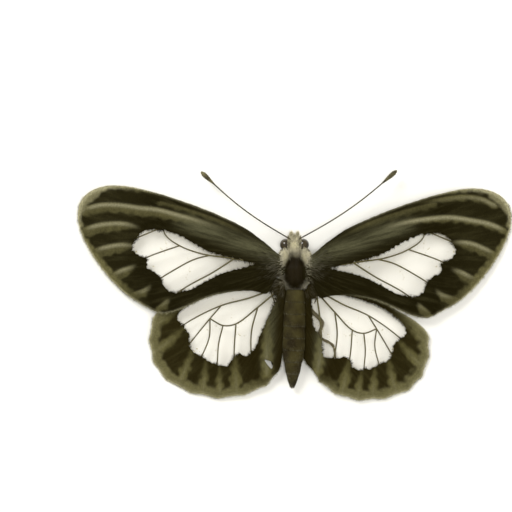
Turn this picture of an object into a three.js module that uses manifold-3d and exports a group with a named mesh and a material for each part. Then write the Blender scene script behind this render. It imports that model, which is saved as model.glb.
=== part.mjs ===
// A spread butterfly specimen that lies on its underside with its wings open. It has dark wings with
// clear windows between raised veins, a hairy head, thorax and ringed abdomen, and six folded legs.
// Millimetres, +Z up, head towards +Y, the insect's left wings at -X. The origin is the middle of the
// flat underside of the thorax, and the wing tips come down to the same surface.
import * as THREE from "three";
import { mergeVertices } from "three/addons/utils/BufferGeometryUtils.js";
import Module from "manifold-3d";

const wasm = await Module();
wasm.setup();

// Driving dimensions, in millimetres.
const WINGSPAN = 100;
const GAP = 0.3;
const SCALED_WING = 0.44;
const CLEAR_MEMBRANE = 0.2;
const VEIN_HALF_WIDTH = 0.36;
const VEIN_HALF_HEIGHT = 0.34;
const LONGEST_WING_EDGE = 12;
const VEIN_STEP = 7.6;
const TIP_CLEARANCE = 0.05;
const SCALLOP_DEPTH = 0.42;
const EYE_RADIUS = 1.3;
const TALL = 4;

// Each wing bows down from its root to the surface: the root's place and height, and the reach of the
// farthest margin from it, as [out from the midline, fore towards the head, height].
const WING_FALL = 1.25;
const FORE = { root: [3.4, 1.6, 5.3], reach: 49 };
const HIND = { root: [3.9, -2.3, 4.1], reach: 35 };

// Body parts: middle, and half sizes across, along and up.
const THORAX = { at: [0, -0.15, 3.0], half: [3.3, 4.9, 3.4] };
const HEAD = { at: [-0.15, 5.75, 3.5], half: [1.85, 1.75, 1.75] };
const EYE_OUT = 2.05;

// Wing plans, in hundredths of the wingspan, as [out, fore] from the thorax, from the wing's root along
// the front edge, round the outer margin and back along the hind edge. They are the left wings.
const FOREWING = [
  [2.2, 2.2], [4.6, 4.3], [7.8, 7.0], [11.8, 9.8], [17.3, 12.5], [24.4, 15.3], [33.2, 18.1], [39.6, 19.4],
  [44.2, 19.3], [47.7, 17.9], [49.7, 15.5], [50.2, 12.2], [49.4, 8.6], [47.9, 5.4], [45.4, 1.4],
  [42.2, -2.5], [38.5, -5.9], [34.3, -8.4], [31.0, -9.9], [28.2, -9.6], [25.1, -8.4], [21.7, -6.9],
  [18.0, -5.6], [12.4, -4.8], [9.0, -4.9], [6.6, -5.4], [5.4, -3.6], [4.2, -1.8], [2.2, -0.6],
];
const FOREWING_WINDOW = [
  [8.8, 1.4], [13.6, 0.2], [17.9, -1.4], [20.9, -2.9], [23.6, -4.3], [26.0, -5.1], [28.2, -5.2],
  [30.0, -4.1], [31.0, -1.9], [32.2, -0.6], [34.1, 0.5], [34.2, 2.4], [36.2, 3.4], [37.5, 5.0],
  [36.4, 7.7], [34.4, 9.1], [32.0, 9.5], [29.4, 9.0], [25.9, 7.6], [20.5, 4.6], [15.9, 3.2],
];
const HINDWING = [
  [2.6, -2.6], [7.6, -1.6], [12.7, -2.5], [17.7, -3.5], [21.0, -4.6], [24.2, -6.0], [28.3, -7.6],
  [31.2, -9.3], [32.9, -11.3], [33.7, -14.6], [33.5, -18.8], [32.4, -22.2], [30.2, -25.1], [26.3, -27.6],
  [21.7, -29.1], [17.3, -29.8], [12.7, -29.2], [8.4, -27.8], [5.6, -25.9], [3.7, -23.2], [3.05, -20.0],
  [2.6, -15.0], [2.5, -10.0], [2.5, -6.0],
];
const HINDWING_WINDOW = [
  [6.0, -4.4], [8.5, -3.9], [12.5, -4.1], [17.5, -5.0], [21.0, -6.1], [24.2, -7.7], [26.4, -9.4],
  [27.2, -11.2], [25.9, -13.0], [24.5, -14.8], [24.6, -17.0], [23.4, -19.0], [21.6, -20.0],
  [19.8, -21.2], [17.6, -22.0], [15.8, -22.1], [14.0, -20.2], [12.9, -19.3], [11.2, -19.9],
  [9.2, -18.0], [8.1, -15.2], [6.7, -12.0], [5.3, -9.0], [4.2, -6.4],
];
const HINDWING_TEAR = [[5.4, -22.8], [7.0, -20.7], [5.2, -21.4]];

// The right hindwing's inner margin lies closer to the abdomen, and its window reaches closer to it.
const RIGHT_HINDWING = [
  [1.1, -2.6], ...HINDWING.slice(1, 17), [8.8, -27.5], [6.6, -25.8], [3.9, -22.7], [2.4, -20.8],
  [2.2, -15.5], [1.5, -9.9], [1.1, -6.7],
];
const RIGHT_HINDWING_WINDOW = [
  ...HINDWING_WINDOW.slice(0, 19), [9.2, -20.2], [7.5, -20.1], [6.7, -18.0], [5.8, -15.4], [3.7, -12.6],
  [3.2, -10.8], [2.7, -8.0], [2.5, -6.3],
];

// The share of the hindwing's outline, by points, between which its margin is scalloped.
const SCALLOPED = { from: 8 / 24, to: 19 / 24, count: 8 };

// Veins run from the root, or from where they fork, to the margin.
const FOREWING_VEINS = [
  [[3.0, 1.9], [11.0, 7.6], [24.2, 13.2], [33.8, 15.6], [41.0, 15.3], [49.2, 14.6]],
  [[31.0, 11.6], [36.2, 10.6], [42.0, 11.0], [49.2, 9.7]],
  [[31.2, 9.6], [36.0, 7.6], [40.2, 5.9], [47.2, 4.6]],
  [[26.6, 5.6], [30.9, 4.15], [33.9, 3.0], [39.9, -0.2], [44.6, -1.4]],
  [[19.6, 3.4], [23.3, 2.4], [28.2, -0.2], [31.1, -2.0], [34.8, -4.6], [39.4, -5.6]],
  [[3.0, 1.0], [9.6, 1.9], [15.4, 2.8], [21.4, 3.7], [26.6, 5.6], [29.8, 8.0], [31.0, 11.6], [33.8, 15.6]],
  [[14.0, 2.6], [19.0, -0.6], [25.2, -4.0], [31.8, -8.8]],
  [[3.0, 0.2], [8.0, -2.8], [16.0, -3.3], [25.4, -7.2]],
];
const HINDWING_VEINS = [
  [[3.6, -3.4], [12.0, -3.4], [22.0, -6.0], [32.6, -12.6]],
  [[3.6, -3.8], [10.4, -6.4], [17.0, -8.2], [25.0, -12.2], [32.8, -18.0]],
  [[17.0, -8.2], [19.6, -11.2], [24.6, -17.4], [29.8, -24.4]],
  [[19.6, -11.2], [19.8, -15.6], [21.8, -20.6], [24.8, -27.6]],
  [[3.8, -4.6], [8.6, -8.6], [13.6, -12.4], [16.6, -12.8], [19.6, -11.2]],
  [[16.6, -12.8], [17.6, -17.0], [18.0, -22.0], [19.2, -28.9]],
  [[13.6, -12.4], [14.0, -18.0], [14.0, -23.0], [13.8, -28.8]],
  [[8.6, -8.6], [10.0, -14.0], [10.0, -20.0], [8.4, -26.8]],
  [[3.6, -5.4], [5.2, -11.0], [6.4, -17.0], [5.4, -24.0]],
];

// The two sides, with what sets each wing a little off the mirror image: its turn in degrees, its size
// and its shift.
const SIDES = [
  {
    name: "left",
    sign: -1,
    fore: { turn: 0, size: 1, shift: [0, 0] },
    hind: { turn: 0, size: 1, shift: [0, 0] },
    hindParts: { plan: HINDWING, window: HINDWING_WINDOW, tear: HINDWING_TEAR },
    antennaTip: [21.6, 22.6],
    hindLeg: [
      [2.0, -4.2, 0.8], [3.4, -7.2, 1.3], [5.0, -10.2, 1.9], [4.4, -15.6, 0.9], [5.6, -19.0, 0.5],
      [5.2, -22.0, 0.3],
    ],
  },
  {
    name: "right",
    sign: 1,
    fore: { turn: 0, size: 1.013, shift: [-0.8, -1.0] },
    hind: { turn: -8.3, size: 0.92, shift: [1.7, -0.9] },
    hindParts: { plan: RIGHT_HINDWING, window: RIGHT_HINDWING_WINDOW },
    antennaTip: [23.4, 22.9],
    hindLeg: [
      [2.0, -4.2, 0.8], [3.4, -8.8, 1.4], [6.2, -12.1, 2.1], [5.7, -15.4, 0.9], [8.7, -17.4, 0.5],
      [9.6, -21.6, 0.3],
    ],
  },
];
const HINDWING_PIVOT = [3.46, -3.46];

const CHITIN = new THREE.MeshStandardMaterial({ color: 0x1d180e, roughness: 0.55, metalness: 0 });
const BLACK_SCALES = new THREE.MeshStandardMaterial({ color: 0x15120b, roughness: 0.8, metalness: 0 });
const DARK_SCALES = new THREE.MeshStandardMaterial({ color: 0x1c170d, roughness: 0.8, metalness: 0 });
const GREY_HAIR = new THREE.MeshStandardMaterial({ color: 0x8f8a6c, roughness: 0.9, metalness: 0 });
const OLIVE_HAIR = new THREE.MeshStandardMaterial({ color: 0x3a3420, roughness: 0.9, metalness: 0 });
const EYE_BROWN = new THREE.MeshStandardMaterial({ color: 0x332b18, roughness: 0.15, metalness: 0 });

const mm = (hundredths) => (hundredths * WINGSPAN) / 100;
const vector = ([x, y, z = 0]) => new THREE.Vector3(x, y, z);

// A closed three.js geometry as a solid.
function solid(geometry) {
  const bare = geometry.clone();
  bare.deleteAttribute("normal");
  bare.deleteAttribute("uv");
  const merged = mergeVertices(bare, 1e-4);
  return new wasm.Manifold(
    new wasm.Mesh({
      numProp: 3,
      vertProperties: new Float32Array(merged.attributes.position.array),
      triVerts: new Uint32Array(merged.index.array),
    }),
  );
}

// A solid's vertices and triangles as plain lists.
function facesOf(body) {
  const mesh = body.getMesh();
  const points = [];
  for (let i = 0; i < mesh.numVert; i += 1) {
    points.push([...mesh.vertProperties.slice(i * mesh.numProp, i * mesh.numProp + 3)]);
  }
  const triangles = [];
  for (let i = 0; i < mesh.numTri; i += 1) {
    triangles.push([...mesh.triVerts.slice(i * 3, i * 3 + 3)]);
  }
  return { points, triangles };
}

function geometryOf({ points, triangles }) {
  return new THREE.BufferGeometry()
    .setAttribute("position", new THREE.Float32BufferAttribute(points.flat(), 3))
    .setIndex(triangles.flat());
}

function named(name, body, material) {
  const geometry = geometryOf(facesOf(body));
  geometry.computeVertexNormals();
  const mesh = new THREE.Mesh(geometry, material);
  mesh.name = name;
  return mesh;
}

const joined = (bodies) => bodies.reduce((whole, body) => whole.add(body));

// Halves every edge longer than the limit until none is left, so that a flat sheet can be bowed.
function refined({ points, triangles }, limit) {
  const all = points.slice();
  let faces = triangles;
  for (let again = true; again; ) {
    again = false;
    const middles = new Map();
    const middle = (a, b) => {
      const key = a < b ? `${a},${b}` : `${b},${a}`;
      if (!middles.has(key)) {
        const [p, q] = a < b ? [all[a], all[b]] : [all[b], all[a]];
        const long = Math.hypot(p[0] - q[0], p[1] - q[1], p[2] - q[2]) > limit;
        middles.set(key, long ? all.push(p.map((value, axis) => (value + q[axis]) / 2)) - 1 : -1);
      }
      return middles.get(key);
    };
    const next = [];
    for (const [a, b, c] of faces) {
      const [ab, bc, ca] = [middle(a, b), middle(b, c), middle(c, a)];
      const corners = [a, ab, b, bc, c, ca].filter((corner) => corner >= 0);
      again ||= corners.length > 3;
      next.push(...fan(corners, [a, b, c], ab, bc, ca));
    }
    faces = next;
  }
  return { points: all, triangles: faces };
}

// The triangles of one face whose edges may have gained a middle.
function fan(corners, [a, b, c], ab, bc, ca) {
  if (corners.length === 3) {
    return [[a, b, c]];
  }
  if (corners.length === 6) {
    return [[a, ab, ca], [ab, b, bc], [ca, bc, c], [ab, bc, ca]];
  }
  const start = ab >= 0 ? corners.indexOf(ab) : corners.indexOf(bc >= 0 ? bc : ca);
  const turned = [...corners.slice(start), ...corners.slice(0, start)];
  return turned.slice(1, -1).map((corner, i) => [turned[0], corner, turned[i + 2]]);
}

// The left wing's plan, set for one side: [out, fore] in millimetres.
function placed([out, fore], { turn, size, shift }) {
  const [x, y] = [mm(out) - mm(HINDWING_PIVOT[0]), mm(fore) - mm(HINDWING_PIVOT[1])];
  const angle = THREE.MathUtils.degToRad(turn);
  return [
    (x * Math.cos(angle) - y * Math.sin(angle)) * size + mm(HINDWING_PIVOT[0] + shift[0]),
    (x * Math.sin(angle) + y * Math.cos(angle)) * size + mm(HINDWING_PIVOT[1] + shift[1]),
  ];
}

const smooth = (points, closed) => new THREE.CatmullRomCurve3(points.map(vector), closed, "centripetal");

// Where along a closed outline its points lie: evenly, and closer together in a scalloped part.
function sharesOf(samples, scallops) {
  const even = Array.from({ length: samples }, (_, i) => i / samples);
  if (!scallops) {
    return even;
  }
  const { from, to, count } = scallops;
  const steps = 3 * count;
  const close = Array.from({ length: steps + 1 }, (_, i) => from + ((to - from) * i) / steps);
  const apart = even.filter((share) => share < from - 0.01 || share > to + 0.01);
  return [...apart, ...close].sort((a, b) => a - b);
}

// The outline of a wing, with shallow scallops between the vein ends where it has them.
function outlineOf(plan, set, samples, scallops) {
  const curve = smooth(plan.map((point) => placed(point, set)), true);
  return sharesOf(samples, scallops).map((share) => {
    const point = curve.getPoint(share);
    if (scallops && share > scallops.from && share < scallops.to) {
      const phase = ((share - scallops.from) / (scallops.to - scallops.from)) * scallops.count;
      const along = curve.getTangent(share);
      const inward = new THREE.Vector3(along.y, -along.x, 0);
      point.addScaledVector(inward, SCALLOP_DEPTH * Math.abs(Math.sin(Math.PI * phase)));
    }
    return new THREE.Vector2(point.x, point.y);
  });
}

// A flat plate of an outline, centred on height 0.
function plate(points, thickness) {
  const shape = new THREE.Shape(points);
  const flat = new THREE.ExtrudeGeometry(shape, { depth: thickness, bevelEnabled: false });
  return solid(flat.translate(0, 0, -thickness / 2));
}

// A four-cornered section.
function diamond(halfX, halfY) {
  const corners = [[halfX, 0], [0, halfY], [-halfX, 0], [0, -halfY]];
  return new THREE.Shape(corners.map(([x, y]) => new THREE.Vector2(x, y)));
}

// A vein: a low ridge of diamond section, proud of both faces of the wing.
function vein(points, set) {
  const section = diamond(VEIN_HALF_HEIGHT, VEIN_HALF_WIDTH);
  const path = smooth(points.map((point) => placed(point, set)), false);
  const steps = Math.max(3, Math.round(path.getLength() / VEIN_STEP));
  return solid(new THREE.ExtrudeGeometry(section, { steps, bevelEnabled: false, extrudePath: path }));
}

// How high the middle of a wing lies at [out, fore].
function wingHeight(out, fore, { root, reach }) {
  const share = Math.hypot(out - mm(root[0]), fore - mm(root[1])) / mm(reach);
  const tip = VEIN_HALF_HEIGHT + TIP_CLEARANCE;
  return tip + (root[2] - tip) * (1 - share ** WING_FALL);
}

// One wing: a thick scaled border, thin clear windows and raised veins, in one solid bowed to shape.
function wing({ plan, window: opening, veins, tear, scallops, samples }, set, sign, bow) {
  const outline = outlineOf(plan, set, samples, scallops);
  const border = plate(outline, SCALED_WING).subtract(plate(outlineOf(opening, set, 28), TALL));
  const ridges = joined(veins.map((points) => vein(points, set))).intersect(plate(outline, TALL));
  let flat = plate(outline, CLEAR_MEMBRANE).add(border).add(ridges);
  if (tear) {
    flat = flat.subtract(plate(outlineOf(tear, set, 9), TALL));
  }
  const { points, triangles } = refined(facesOf(flat), LONGEST_WING_EDGE);
  const bowed = points.map(([out, fore, up]) => [sign * out, fore, up + wingHeight(out, fore, bow)]);
  const facing = sign > 0 ? triangles : triangles.map(([a, b, c]) => [a, c, b]);
  return solid(geometryOf({ points: bowed, triangles: facing }));
}

// A rounded body part, grown all round by a gap where another piece is to keep clear of it.
function egg({ at, half }, grow = 0, around = 16, up = 9) {
  const [across, along, tall] = half.map((size) => size + grow);
  return solid(new THREE.SphereGeometry(1, around, up).rotateX(Math.PI / 2)
    .scale(across, along, tall).translate(...at));
}

// Everything below a height.
function below(height) {
  const size = 2 * WINGSPAN;
  return solid(new THREE.BoxGeometry(size, size, size).translate(0, 0, height - size / 2));
}

const shoulderForm = (sign, grow) =>
  egg({ at: [sign * 2.15, 2.5, 5.2], half: [0.95, 1.9, 0.95] }, grow, 10, 6);
const thoraxForm = (grow = 0) =>
  joined([egg(THORAX, grow), shoulderForm(-1, grow), shoulderForm(1, grow)]);
const headForm = (grow = 0) => egg(HEAD, grow, 14, 8);
const eyeForm = (sign, grow = 0) =>
  egg({ at: [HEAD.at[0] + sign * EYE_OUT, 5.85, 3.75], half: [EYE_RADIUS, 1.35, 1.4] }, grow, 12, 8);

// A tapered limb along a list of [x, y, z, radius]: a turned form whose rings are moved to their
// stations and set square to the way through.
function limb(stations, sides = 7) {
  const ends = [stations[0], stations[stations.length - 1]];
  const rings = [[...ends[0].slice(0, 3), 0], ...stations, [...ends[1].slice(0, 3), 0]];
  const profile = rings.map(([, , , radius], i) => new THREE.Vector2(radius, i));
  const turned = new THREE.LatheGeometry(profile, sides);
  const position = turned.attributes.position;
  const last = stations.length - 1;
  const point = new THREE.Vector3();
  for (let i = 0; i < position.count; i += 1) {
    point.fromBufferAttribute(position, i);
    const here = Math.min(Math.max(Math.round(point.y) - 1, 0), last);
    const next = vector(stations[Math.min(here + 1, last)]);
    const along = next.sub(vector(stations[Math.max(here - 1, 0)])).normalize();
    const turn = new THREE.Quaternion().setFromUnitVectors(new THREE.Vector3(0, 1, 0), along);
    point.setY(0).applyQuaternion(turn).add(vector(stations[here]));
    position.setXYZ(i, point.x, point.y, point.z);
  }
  return solid(turned);
}

// More stations between the given ones, on a smooth curve through them.
function eased(stations, steps) {
  const path = new THREE.CatmullRomCurve3(stations.map(vector), false, "centripetal");
  return Array.from({ length: steps + 1 }, (_, i) => {
    const share = i / steps;
    const at = share * (stations.length - 1);
    const before = Math.min(Math.floor(at), stations.length - 2);
    const radius = THREE.MathUtils.lerp(stations[before][3], stations[before + 1][3], at - before);
    return [...path.getPoint(share).toArray(), radius];
  });
}

// The thorax, flat underneath, with a scale-covered shoulder over each forewing's root.
const thorax = () => thoraxForm().subtract(below(0));

// The abdomen: a ringed spindle that tapers to a round tip, a little bent to the left.
function abdomenForm(grow = 0) {
  const LENGTH = 22.2;
  const RINGS = 8;
  const profile = [new THREE.Vector2(0, 0)];
  const STEPS = (grow ? 1 : 3) * RINGS;
  for (let i = 0; i <= STEPS; i += 1) {
    const share = i / STEPS;
    const swell = 2.2 + 0.6 * Math.sin(Math.PI * Math.min(1, share * 1.25) ** 0.8);
    const taper = Math.sqrt(Math.max(0, 1 - Math.max(0, (share - 0.45) / 0.56) ** 2.6));
    const groove = !grow && i % 3 === 0 && i > 0 && i < STEPS ? 0.16 : 0;
    const radius = Math.max(0.25, swell * taper * 0.92 - groove);
    profile.push(new THREE.Vector2(radius + grow, share * LENGTH));
  }
  profile.push(new THREE.Vector2(0, LENGTH));
  const droop = THREE.MathUtils.degToRad(3);
  const swing = THREE.MathUtils.degToRad(-1.7);
  const spindle = new THREE.LatheGeometry(profile, 12).rotateZ(Math.PI);
  return solid(spindle.rotateX(droop).rotateZ(swing).translate(0.05, -4.5, 3.05));
}

// The head, with sockets for the eyes and a crown of stiff tufts in front.
function head() {
  const tuft = ([x, y, tipX, tipY], radius) =>
    limb([[x, y, 4.3, radius], [tipX, tipY, 4.5, 0.14]], 7);
  const tufts = [
    tuft([HEAD.at[0] - 0.9, 6.6, HEAD.at[0] - 1.55, 7.9], 0.42),
    tuft([HEAD.at[0] + 0.95, 6.6, HEAD.at[0] + 1.5, 7.9], 0.42),
    tuft([HEAD.at[0], 6.9, HEAD.at[0] + 0.05, 8.2], 0.5),
  ];
  return joined([headForm(), ...tufts])
    .subtract(eyeForm(-1, GAP))
    .subtract(eyeForm(1, GAP))
    .subtract(thoraxForm(GAP));
}

// A labial palp: a blunt, upturned feeler below the face.
function palp(sign) {
  const x = HEAD.at[0];
  return limb([
    [x + sign * 0.5, 7.1, 2.3, 0.34],
    [x + sign * 0.72, 8.1, 2.7, 0.46],
    [x + sign * 0.78, 8.75, 3.4, 0.3],
  ]).subtract(headForm(GAP));
}

// The coiled tongue, between and below the palps.
function proboscis() {
  const TURNS = 1.75;
  const STEPS = 26;
  const points = [];
  for (let i = 0; i <= STEPS; i += 1) {
    const share = i / STEPS;
    const angle = -Math.PI * 0.1 + share * TURNS * 2 * Math.PI;
    const radius = 0.95 - 0.7 * share;
    points.push([HEAD.at[0], 7.15 + radius * Math.sin(angle), 1.25 + radius * Math.cos(angle)]);
  }
  const section = diamond(0.12, 0.12);
  const coil = { steps: STEPS, bevelEnabled: false, extrudePath: smooth(points, false) };
  return solid(new THREE.ExtrudeGeometry(section, coil)).subtract(headForm(GAP));
}

// An antenna: a thin shaft that thickens into a club at its end.
function antenna({ sign, antennaTip: [tipOut, tipFore] }) {
  const root = [HEAD.at[0] + sign * 0.8, 7.0, 4.9];
  const tip = [sign * mm(tipOut), mm(tipFore), 3.6];
  const BOW = 1.0;
  const STEPS = 13;
  const stations = [];
  for (let i = 0; i <= STEPS; i += 1) {
    const share = (i / STEPS) ** 0.75;
    const bow = BOW * Math.sin(Math.PI * share);
    const club = THREE.MathUtils.smoothstep(share, 0.82, 0.95);
    stations.push([
      THREE.MathUtils.lerp(root[0], tip[0], share) + sign * bow * 0.55,
      THREE.MathUtils.lerp(root[1], tip[1], share) - bow * 0.85,
      THREE.MathUtils.lerp(root[2], tip[2], share) + bow * 0.7,
      i === STEPS ? 0.34 : 0.17 + 0.36 * club,
    ]);
  }
  return limb(stations, 5).subtract(headForm(GAP));
}

const LEG_RADII = [0.5, 0.36, 0.27, 0.19, 0.15];
const HINDLEG_RADII = [0.5, 0.58, 0.54, 0.42, 0.34, 0.17];

// A leg from hip to claw, given its joints and its radius at each.
function leg(joints, sign, radii = LEG_RADII) {
  const stations = joints.map(([out, fore, up], i) => {
    return [sign * out, fore, Math.max(up, radii[i] + 0.05), radii[i]];
  });
  return limb(eased(stations, 11), 6).subtract(thoraxForm(GAP));
}

const FORELEG = [[1.6, 3.4, 1.2], [2.2, 4.8, 1.4], [3.1, 4.5, 1.1], [4.0, 2.4, 0.5], [4.4, 0.2, 0.3]];
const MIDLEG = [[2.2, 0.2, 1.3], [5.6, -0.6, 1.8], [5.9, -3.4, 0.9], [5.2, -6.0, 0.4], [4.6, -7.6, 0.3]];

const FORE_PARTS = { plan: FOREWING, window: FOREWING_WINDOW, veins: FOREWING_VEINS, samples: 42 };
const HIND_PARTS = { veins: HINDWING_VEINS, scallops: SCALLOPED, samples: 40 };

// The pieces of one side of the insect.
function sidePieces(side) {
  const { name, sign } = side;
  const forewing = wing(FORE_PARTS, side.fore, sign, FORE).subtract(thoraxForm(GAP));
  const hindwing = wing({ ...HIND_PARTS, ...side.hindParts }, side.hind, sign, HIND)
    .subtract(thoraxForm(GAP))
    .subtract(abdomenForm(GAP));
  return [
    named(`forewing_${name}`, forewing, BLACK_SCALES),
    named(`hindwing_${name}`, hindwing, DARK_SCALES),
    named(`eye_${name}`, eyeForm(sign), EYE_BROWN),
    named(`palp_${name}`, palp(sign), GREY_HAIR),
    named(`antenna_${name}`, antenna(side), CHITIN),
    named(`foreleg_${name}`, leg(FORELEG, sign), CHITIN),
    named(`midleg_${name}`, leg(MIDLEG, sign), CHITIN),
    named(`hindleg_${name}`, leg(side.hindLeg, sign, HINDLEG_RADII), CHITIN),
  ];
}

const butterfly = new THREE.Group();
butterfly.add(
  named("head", head(), GREY_HAIR),
  named("thorax", thorax(), OLIVE_HAIR),
  named("abdomen", abdomenForm().subtract(thoraxForm(GAP)), OLIVE_HAIR),
  named("proboscis", proboscis(), CHITIN),
  ...SIDES.flatMap(sidePieces),
);

export default butterfly;
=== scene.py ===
import math

import bpy
import numpy as np
from bpy.props import FloatProperty, FloatVectorProperty, IntProperty, PointerProperty
from mathutils.geometry import delaunay_2d_cdt
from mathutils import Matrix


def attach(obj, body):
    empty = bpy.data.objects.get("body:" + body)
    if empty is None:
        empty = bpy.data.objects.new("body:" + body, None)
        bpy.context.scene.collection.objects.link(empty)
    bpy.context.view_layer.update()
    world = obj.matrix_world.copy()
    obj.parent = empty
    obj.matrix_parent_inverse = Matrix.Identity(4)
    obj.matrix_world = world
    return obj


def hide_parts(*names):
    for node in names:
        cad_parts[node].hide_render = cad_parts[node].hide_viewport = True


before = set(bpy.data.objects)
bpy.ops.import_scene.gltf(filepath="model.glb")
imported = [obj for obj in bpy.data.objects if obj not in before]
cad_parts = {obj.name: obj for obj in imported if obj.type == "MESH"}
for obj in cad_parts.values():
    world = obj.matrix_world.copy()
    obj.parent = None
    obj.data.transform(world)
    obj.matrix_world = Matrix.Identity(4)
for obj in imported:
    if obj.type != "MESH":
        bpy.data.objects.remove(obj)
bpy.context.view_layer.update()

bl_info = {
    "name": "Spread Butterfly",
    "version": (1, 0, 0),
    "blender": (4, 5, 0),
    "location": "View3D > Sidebar > Butterfly",
    "description": "Builds a dry spread butterfly with clear windows in its wings",
    "category": "Add Mesh",
}

MM = 0.001
BODY = "root"
SIGNS = {"left": -1, "right": 1}

# Plan of the wings and the body

# Wing plans as [out, fore] from the thorax, in millimetres at a wingspan of 100. They run from the
# root along the front edge, round the outer margin and back along the hind edge.
FOREWING = {
    "plan": [
        [2.2, 2.2], [4.6, 4.3], [7.8, 7.0], [11.8, 9.8], [17.3, 12.5], [24.4, 15.3], [33.2, 18.1],
        [39.6, 19.4], [44.2, 19.3], [47.7, 17.9], [49.7, 15.5], [50.2, 12.2], [49.4, 8.6], [47.9, 5.4],
        [45.4, 1.4], [42.2, -2.5], [38.5, -5.9], [34.3, -8.4], [31.0, -9.9], [28.2, -9.6], [25.1, -8.4],
        [21.7, -6.9], [18.0, -5.6], [12.4, -4.8], [9.0, -4.9], [6.6, -5.4], [5.4, -3.6], [4.2, -1.8],
        [2.2, -0.6],
    ],
    "window": [
        [8.8, 1.4], [13.6, 0.2], [17.9, -1.4], [20.9, -2.9], [23.6, -4.3], [26.0, -5.1], [28.2, -5.2],
        [30.0, -4.1], [31.0, -1.9], [32.2, -0.6], [34.1, 0.5], [34.2, 2.4], [36.2, 3.4], [37.5, 5.0],
        [36.4, 7.7], [34.4, 9.1], [32.0, 9.5], [29.4, 9.0], [25.9, 7.6], [20.5, 4.6], [15.9, 3.2],
    ],
    "veins": [
        [[3.0, 1.9], [11.0, 7.6], [24.2, 13.2], [33.8, 15.6], [41.0, 15.3], [49.2, 14.6]],
        [[31.0, 11.6], [36.2, 10.6], [42.0, 11.0], [49.2, 9.7]],
        [[31.2, 9.6], [36.0, 7.6], [40.2, 5.9], [47.2, 4.6]],
        [[26.6, 5.6], [30.9, 4.15], [33.9, 3.0], [39.9, -0.2], [44.6, -1.4]],
        [[19.6, 3.4], [23.3, 2.4], [28.2, -0.2], [31.1, -2.0], [34.8, -4.6], [39.4, -5.6]],
        [
            [3.0, 1.0], [9.6, 1.9], [15.4, 2.8], [21.4, 3.7], [26.6, 5.6], [29.8, 8.0], [31.0, 11.6],
            [33.8, 15.6],
        ],
        [[14.0, 2.6], [19.0, -0.6], [25.2, -4.0], [31.8, -8.8]],
        [[3.0, 0.2], [8.0, -2.8], [16.0, -3.3], [25.4, -7.2]],
    ],
    "tear": None,
    "scallops": None,
    "root": [3.4, 1.6, 5.3],
    "reach": 49.0,
}
HINDWING = {
    "plan": [
        [2.6, -2.6], [7.6, -1.6], [12.7, -2.5], [17.7, -3.5], [21.0, -4.6], [24.2, -6.0], [28.3, -7.6],
        [31.2, -9.3], [32.9, -11.3], [33.7, -14.6], [33.5, -18.8], [32.4, -22.2], [30.2, -25.1],
        [26.3, -27.6], [21.7, -29.1], [17.3, -29.8], [12.7, -29.2], [8.4, -27.8], [5.6, -25.9],
        [3.7, -23.2], [3.05, -20.0], [2.6, -15.0], [2.5, -10.0], [2.5, -6.0],
    ],
    "window": [
        [6.0, -4.4], [8.5, -3.9], [12.5, -4.1], [17.5, -5.0], [21.0, -6.1], [24.2, -7.7], [26.4, -9.4],
        [27.2, -11.2], [25.9, -13.0], [24.5, -14.8], [24.6, -17.0], [23.4, -19.0], [21.6, -20.0],
        [19.8, -21.2], [17.6, -22.0], [15.8, -22.1], [14.0, -20.2], [12.9, -19.3], [11.2, -19.9],
        [9.2, -18.0], [8.1, -15.2], [6.7, -12.0], [5.3, -9.0], [4.2, -6.4],
    ],
    "veins": [
        [[3.6, -3.4], [12.0, -3.4], [22.0, -6.0], [32.6, -12.6]],
        [[3.6, -3.8], [10.4, -6.4], [17.0, -8.2], [25.0, -12.2], [32.8, -18.0]],
        [[17.0, -8.2], [19.6, -11.2], [24.6, -17.4], [29.8, -24.4]],
        [[19.6, -11.2], [19.8, -15.6], [21.8, -20.6], [24.8, -27.6]],
        [[3.8, -4.6], [8.6, -8.6], [13.6, -12.4], [16.6, -12.8], [19.6, -11.2]],
        [[16.6, -12.8], [17.6, -17.0], [18.0, -22.0], [19.2, -28.9]],
        [[13.6, -12.4], [14.0, -18.0], [14.0, -23.0], [13.8, -28.8]],
        [[8.6, -8.6], [10.0, -14.0], [10.0, -20.0], [8.4, -26.8]],
        [[3.6, -5.4], [5.2, -11.0], [6.4, -17.0], [5.4, -24.0]],
    ],
    "tear": [[5.4, -22.8], [7.0, -20.7], [5.2, -21.4]],
    # Shares of the outline between which the margin is scalloped, and how many scallops there are.
    "scallops": (8 / 24, 19 / 24, 8),
    "root": [3.9, -2.3, 4.1],
    "reach": 35.0,
}
SCALLOP_DEPTH = 0.42

# The right hindwing's inner margin lies closer to the abdomen, and its window reaches closer to it.
RIGHT_HINDWING = {
    "plan": [
        [1.1, -2.6], *HINDWING["plan"][1:17], [8.8, -27.5], [6.6, -25.8], [3.9, -22.7], [2.4, -20.8],
        [2.2, -15.5], [1.5, -9.9], [1.1, -6.7],
    ],
    "window": [
        *HINDWING["window"][:19], [9.2, -20.2], [7.5, -20.1], [6.7, -18.0], [5.8, -15.4], [3.7, -12.6],
        [3.2, -10.8], [2.7, -8.0], [2.5, -6.3],
    ],
}

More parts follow.
